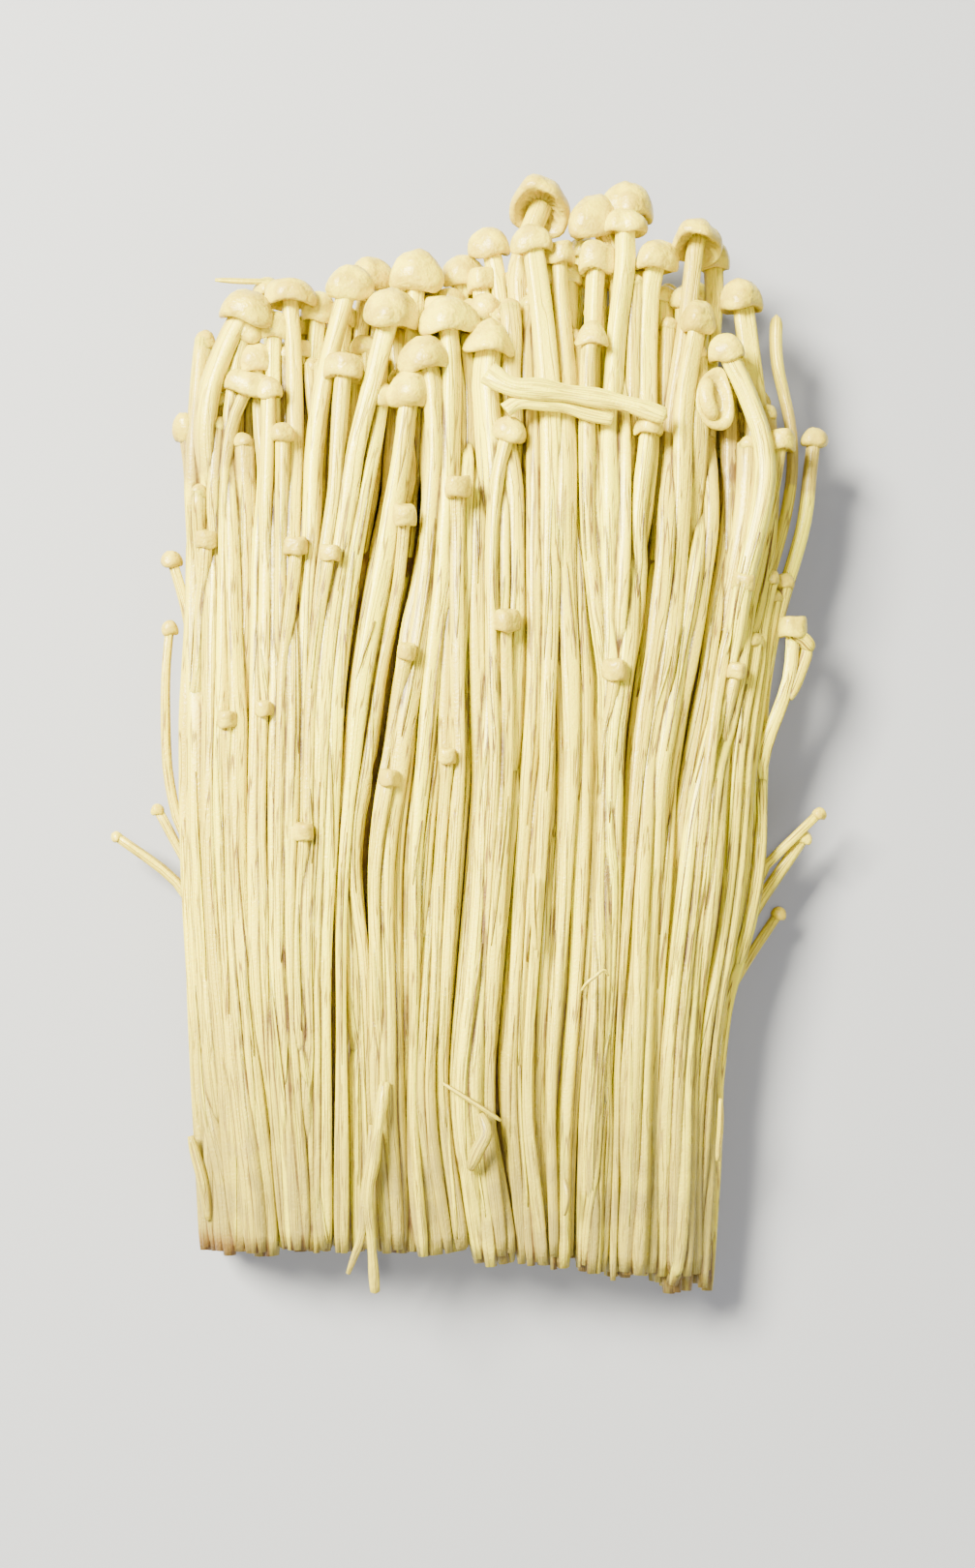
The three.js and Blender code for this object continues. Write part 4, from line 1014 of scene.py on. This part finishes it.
def flesh(name):
    """A material of moist mushroom flesh, with its shader's constant values."""
    material = bpy.data.materials.new(name)
    material.use_nodes = True
    shader = material.node_tree.nodes["Principled BSDF"]
    shader.inputs["Subsurface Weight"].default_value = 0.35
    shader.inputs["Subsurface Radius"].default_value = (1.0, 0.72, 0.38)
    shader.inputs["Subsurface Scale"].default_value = 0.0005
    shader.inputs["Specular IOR Level"].default_value = 0.3
    shader.inputs["Coat Weight"].default_value = 0.18
    shader.inputs["Coat Roughness"].default_value = 0.16
    return material, material.node_tree, shader


PALE_STEM = linear(255, 240, 48)
WATERY_STEM = linear(206, 186, 46)
FOOT_STEM = linear(158, 143, 66)
FIBRE_LINE = linear(116, 84, 34)
# This colour paints shade into the seams where stems and caps touch other stems.
SEAM_SHADE = linear(98, 72, 34)
# This colour paints shade: on stems and caps buried under the back, and under the caps' rims.
DEEP_SHADE = linear(162, 138, 70)
PALE_CAP = linear(254, 239, 50)
TAN_CAP = linear(202, 180, 44)
CRUST = linear(120, 84, 44)

# Where the looks change on the bunch, and how deep the skin's relief is, in metres
LINES_FADE = (0.052, 0.026)
AGED = (-0.024, -0.068)
CRUST_SIDE = (-0.026, -0.036)
CRUST_END = (-0.0625, -0.0655)
STEM_RELIEF = 0.00014
CAP_RELIEF = 0.00022


def stem_flesh():
    """Pale moist stems with fibre lines, painted shade in the seams where they touch and under the back, and
    aged towards the foot.
    """
    material, tree, shader = flesh("stem flesh")
    fibre = node(tree, "ShaderNodeGroup", node_tree=FIBRE)
    tree.links.new(attribute(tree, "grain", "Vector"), fibre.inputs["Grain"])
    skin = node(tree, "ShaderNodeGroup", node_tree=MOTTLING)
    streak = fibre.outputs["Streak"]
    band = fibre.outputs["Band"]
    tone = attribute(tree, "tone")
    wet_tone = maths(tree, "MULTIPLY_ADD", tone, 0.7, -0.35)
    watery = maths(tree, "MULTIPLY_ADD", band, 0.7, wet_tone, clamp=True)
    colour = mix(tree, watery, PALE_STEM, WATERY_STEM)
    lines = maths(tree, "MULTIPLY", streak, maths(tree, "MULTIPLY_ADD", band, 0.3, 0.66))
    place = node(tree, "ShaderNodeTexCoord")
    parts = node(tree, "ShaderNodeSeparateXYZ")
    tree.links.new(place.outputs["Object"], parts.inputs[0])
    lines = maths(tree, "MULTIPLY", lines, spread(tree, parts.outputs[1], *LINES_FADE, 0.45, 1.0))
    colour = mix(tree, lines, colour, FIBRE_LINE)
    towards_foot = spread(tree, parts.outputs[1], *AGED)
    uneven = maths(tree, "MULTIPLY_ADD", tone, 0.6, maths(tree, "MULTIPLY", skin.outputs["Blotch"], 0.35))
    aged = maths(tree, "MULTIPLY", towards_foot, maths(tree, "ADD", uneven, 0.3), clamp=True)
    colour = mix(tree, aged, colour, FOOT_STEM)
    # Painted shade on the stems that lie buried under the back.
    depth = attribute(tree, "depth")
    colour = mix(tree, maths(tree, "MULTIPLY", spread(tree, depth, 0.15, 0.9), 0.75), colour, DEEP_SHADE)
    # Painted shade in the seams where a stem touches its neighbours.
    cleft = attribute(tree, "cleft")
    seam_shade_mask = maths(tree, "MULTIPLY", spread(tree, cleft, 0.1, 0.75),
                 maths(tree, "MULTIPLY_ADD", skin.outputs["Blotch"], 0.4, 0.6), clamp=True)
    colour = mix(tree, seam_shade_mask, colour, SEAM_SHADE)
    corner = maths(tree, "MULTIPLY", spread(tree, parts.outputs[0], *CRUST_SIDE),
                   spread(tree, parts.outputs[1], *CRUST_END))
    colour = mix(tree, maths(tree, "MULTIPLY", corner, 0.8), colour, CRUST)
    tree.links.new(colour, shader.inputs["Base Color"])
    rough_lines = maths(tree, "MULTIPLY_ADD", streak, 0.15, 0.26)
    rough = maths(tree, "MULTIPLY_ADD", skin.outputs["Blotch"], 0.2, rough_lines)
    tree.links.new(rough, shader.inputs["Roughness"])
    height = maths(tree, "ADD", maths(tree, "MULTIPLY", streak, -0.8),
                   maths(tree, "MULTIPLY", skin.outputs["Pit"], 0.25))
    relief(tree, shader, height, 0.9, STEM_RELIEF)
    return material


def cap_skin():
    """The caps' smooth skin, tan in blotches, with painted shade from the rim down over the underside and
    deepest round the stem, on buried caps and where they touch other stems.
    """
    material, tree, shader = flesh("cap skin")
    skin = node(tree, "ShaderNodeGroup", node_tree=MOTTLING)
    mark = attribute(tree, "mark")
    tone = attribute(tree, "tone")
    skin.inputs["Blotch scale"].default_value = 420
    tan = maths(tree, "MULTIPLY_ADD", skin.outputs["Blotch"], 0.6,
                maths(tree, "MULTIPLY_ADD", tone, 0.45, 0.05), clamp=True)
    tan = maths(tree, "MULTIPLY_ADD", skin.outputs["Pit"], 0.18, tan, clamp=True)
    colour = mix(tree, tan, PALE_CAP, TAN_CAP)
    # Painted shade from the rim's lower edge over the whole underside.
    under_rim_shade = maths(tree, "MULTIPLY", spread(tree, mark, 0.5, 0.64), 0.22)
    colour = mix(tree, under_rim_shade, colour, DEEP_SHADE)
    # More painted shade under the cap, round the stem.
    under = spread(tree, mark, 0.76, 0.95)
    colour = mix(tree, maths(tree, "MULTIPLY", under, 0.25), colour, DEEP_SHADE)
    # Painted shade on the caps that lie buried among the others.
    depth = attribute(tree, "depth")
    colour = mix(tree, maths(tree, "MULTIPLY", spread(tree, depth, 0.1, 0.8), 0.5), colour, DEEP_SHADE)
    # Painted shade where a cap touches other stems.
    cleft = attribute(tree, "cleft")
    colour = mix(tree, maths(tree, "MULTIPLY", spread(tree, cleft, 0.3, 1.0), 0.5), colour, SEAM_SHADE)
    tree.links.new(colour, shader.inputs["Base Color"])
    rough = maths(tree, "MULTIPLY_ADD", skin.outputs["Blotch"], 0.14, 0.24)
    tree.links.new(rough, shader.inputs["Roughness"])
    wrinkled = maths(tree, "MULTIPLY_ADD", skin.outputs["Pit"], 0.16, skin.outputs["Blotch"])
    relief(tree, shader, wrinkled, 0.8, CAP_RELIEF)
    return material


STEM_FLESH = stem_flesh()
CAP_SKIN = cap_skin()


# The mushrooms

RING_PITCH = 2.2
TIP_PITCH = 0.6
POINT_LENGTH = 1.7
BOWL_DEPTH = 3.0
STEM_SIDES = 16
RIDGES = 0.045
GROWN_TOGETHER = 0.16
SMALL_CAP_WIDTH = 3.5
# How far from the cut and from the cap a stem's first and last stations are, and how it narrows
# at the cut
CLEAR_OF_CUT = 1.2
CLEAR_OF_CAP = 2.2
CUT_NARROWING = 0.3
NARROWS_OVER = 1.6
# The share of its lean that a hidden cap keeps
HIDDEN_LEAN = 0.4


def grow(clay, mushroom, number, packed, rng):
    """Builds one packed mushroom: its stem through the stations, then its cap."""
    x, z, _, _ = packed
    tip = np.array(mushroom.head, float)
    last = tip[1] - max(CLEAR_OF_CAP, 0.5 * mushroom.long)
    inside = (STATIONS > mushroom.foot + CLEAR_OF_CUT) & (STATIONS < last)
    ys = STATIONS[inside]
    points = np.column_stack([x[number, inside], ys, z[number, inside]])
    foot_x = np.interp(mushroom.foot, STATIONS, x[number])
    foot_z = np.interp(mushroom.foot, STATIONS, z[number])
    end = tip - np.array([0, 0, BOWL_DEPTH]) if mushroom.form == "upturned" else tip
    points = np.vstack([[(foot_x, mushroom.foot, foot_z)], points, end[None]])
    pitch = TIP_PITCH if mushroom.form == "point" else RING_PITCH
    count = max(6, int((tip[1] - mushroom.foot) / pitch))
    curve, run = catmull(points, count)
    radii = np.interp(curve[:, 1], STATIONS, mushroom.radius)
    radii = radii * (1 + GROWN_TOGETHER * smooth(-curve[:, 1], 34, 62))
    radii = radii * (1 - CUT_NARROWING * np.exp(-run / NARROWS_OVER))
    tone = rng.uniform(0, 1) if mushroom.wide > SMALL_CAP_WIDTH else 1.0
    if mushroom.form == "point":
        left = np.clip((run[-1] - run) / POINT_LENGTH, 0, 1)
        radii = radii * np.sqrt(np.clip(1 - (1 - left) ** 2, 0.02, 1))
    below = curve[-1] - curve[-3]
    axis = below / np.linalg.norm(below)
    tube(clay, curve, run, radii, STEM_SIDES, rng, STEM_SLOT, number, packed, tone,
         pressed(curve[:, 1]), RIDGES)
    if mushroom.form == "point":
        return
    if mushroom.form == "upturned":
        bean(clay, tip, mushroom.wide, mushroom.long, rng, packed, tone)
        return
    lean = LEAN.get(mushroom.form, rng.uniform(*USUAL_LEAN))
    if mushroom.hold.max() <= HELD:
        lean *= HIDDEN_LEAN
    axis = axis + np.array([-LEVEL * axis[0], 0, lean])
    cap(clay, tip, axis, mushroom.wide, LENGTH_SEEN * mushroom.long, mushroom.form, rng, number,
        packed, tone)


def build_bunch():
    """Places and packs the mushrooms, and builds one piece for each tuft and loose stem."""
    rng = np.random.default_rng(SEED)
    mushrooms = placed_heads(rng) + placed_strays(rng) + placed_hidden(rng)
    packed = pack(mushrooms)
    x, z, _, _ = packed
    for number, m in enumerate(mushrooms):
        if m.hold.max() < HELD:
            m.head = (float(np.interp(m.head[1], STATIONS, x[number])), m.head[1],
                      float(np.interp(m.head[1], STATIONS, z[number])))
    clays = [Clay() for _ in range(TUFTS)]
    for number, m in enumerate(mushrooms):
        grow(clays[m.tuft], m, number, packed, np.random.default_rng(SEED + 7 * number))
    for tuft, clay in enumerate(clays):
        core(clay, tuft)
        cut_ends(clay, tuft, np.random.default_rng(SEED + 900 + tuft), packed)
        cling(clay, tuft, packed)
        peel(clay, tuft, mushrooms, packed)
        finish_mesh(f"tuft_{tuft + 1:02d}_mushrooms", clay, f"tuft_{tuft + 1:02d}")
    for number, (name, (diameter, way)) in enumerate(LOOSE_STEMS.items()):
        clay = Clay()
        points, run = catmull(way, 36)
        share = run / run[-1]
        radii = 0.5 * diameter * (1 - 0.2 * np.sin(run / 2.3 + number) ** 2) * (1.05 - 0.25 * share)
        tube(clay, points, run, radii, 14, np.random.default_rng(SEED + number), STEM_SLOT, None,
             packed, 0.3, PRESSED_FLAT)
        finish_mesh(f"{name}_flesh", clay, name)


build_bunch()


# Floor, light and camera

FLOOR_HALF = 1.6
FLOOR_DEPTH = 0.0002
FLOOR_COLOUR = (0.32, 0.335, 0.405, 1)
ROOM_COLOUR = (1.0, 0.97, 0.92, 1)
ROOM_STRENGTH = 0.4
LAMP_AIM = Vector((0, 0, 0.01))
# Lamps: name, place, side, power and colour
LAMPS = [
    ("key", (-0.36, 0.24, 0.5), 0.24, 33.0, (1.0, 0.94, 0.7)),
    ("gloss", (-0.02, -0.06, 0.5), 0.05, 0.9, (1.0, 0.95, 0.76)),
    ("fill", (0.28, -0.45, 0.5), 0.5, 2.8, (1.0, 0.96, 0.84)),
]


def floor():
    """A pale floor just under the bunch."""
    mesh = bpy.data.meshes.new("floor")
    corners = [(-1, -1), (1, -1), (1, 1), (-1, 1)]
    points = [(FLOOR_HALF * a, FLOOR_HALF * b, -FLOOR_DEPTH) for a, b in corners]
    mesh.from_pydata(points, [], [(0, 1, 2, 3)])
    material = bpy.data.materials.new("pale floor")
    material.use_nodes = True
    shader = material.node_tree.nodes["Principled BSDF"]
    shader.inputs["Base Color"].default_value = FLOOR_COLOUR
    shader.inputs["Roughness"].default_value = 0.8
    mesh.materials.append(material)
    made = in_scene("floor", mesh)


def area_light(name, place, size, power, colour):
    """A square lamp that looks at the bunch."""
    data = bpy.data.lights.new(name, "AREA")
    data.shape = "SQUARE"
    data.size = size
    data.energy = power
    data.color = colour
    made = in_scene(name, data)
    made.location = place
    made.rotation_euler = (LAMP_AIM - Vector(place)).to_track_quat("-Z", "Y").to_euler()


def light():
    """Soft light from all round, a warm lamp from the upper left and two weak ones."""
    world = bpy.data.worlds.new("soft room")
    bpy.context.scene.world = world
    world.use_nodes = True
    background = world.node_tree.nodes["Background"]
    background.inputs["Color"].default_value = ROOM_COLOUR
    background.inputs["Strength"].default_value = ROOM_STRENGTH
    for name, place, size, power, colour in LAMPS:
        area_light(name, place, size, power, colour)


PHOTO_HEIGHT = 1620
FOCAL_PIXELS = 1900
SENSOR = 36
VIEW_DISTANCE = 0.24
VIEW_TILT = math.radians(6)
VIEW_TARGET = Vector((-0.00106, -0.0063, 0.010))


def camera():
    """The camera above the bunch, at the photograph's viewing angle."""
    data = bpy.data.cameras.new("camera")
    data.sensor_width = SENSOR
    data.lens = SENSOR * FOCAL_PIXELS / PHOTO_HEIGHT
    data.clip_start = 0.01
    data.clip_end = 10
    made = in_scene("camera", data)
    look = Vector((0, math.sin(VIEW_TILT), -math.cos(VIEW_TILT)))
    made.location = VIEW_TARGET - look * VIEW_DISTANCE
    made.rotation_euler = look.to_track_quat("-Z", "Y").to_euler()
    bpy.context.scene.camera = made


floor()
light()
camera()
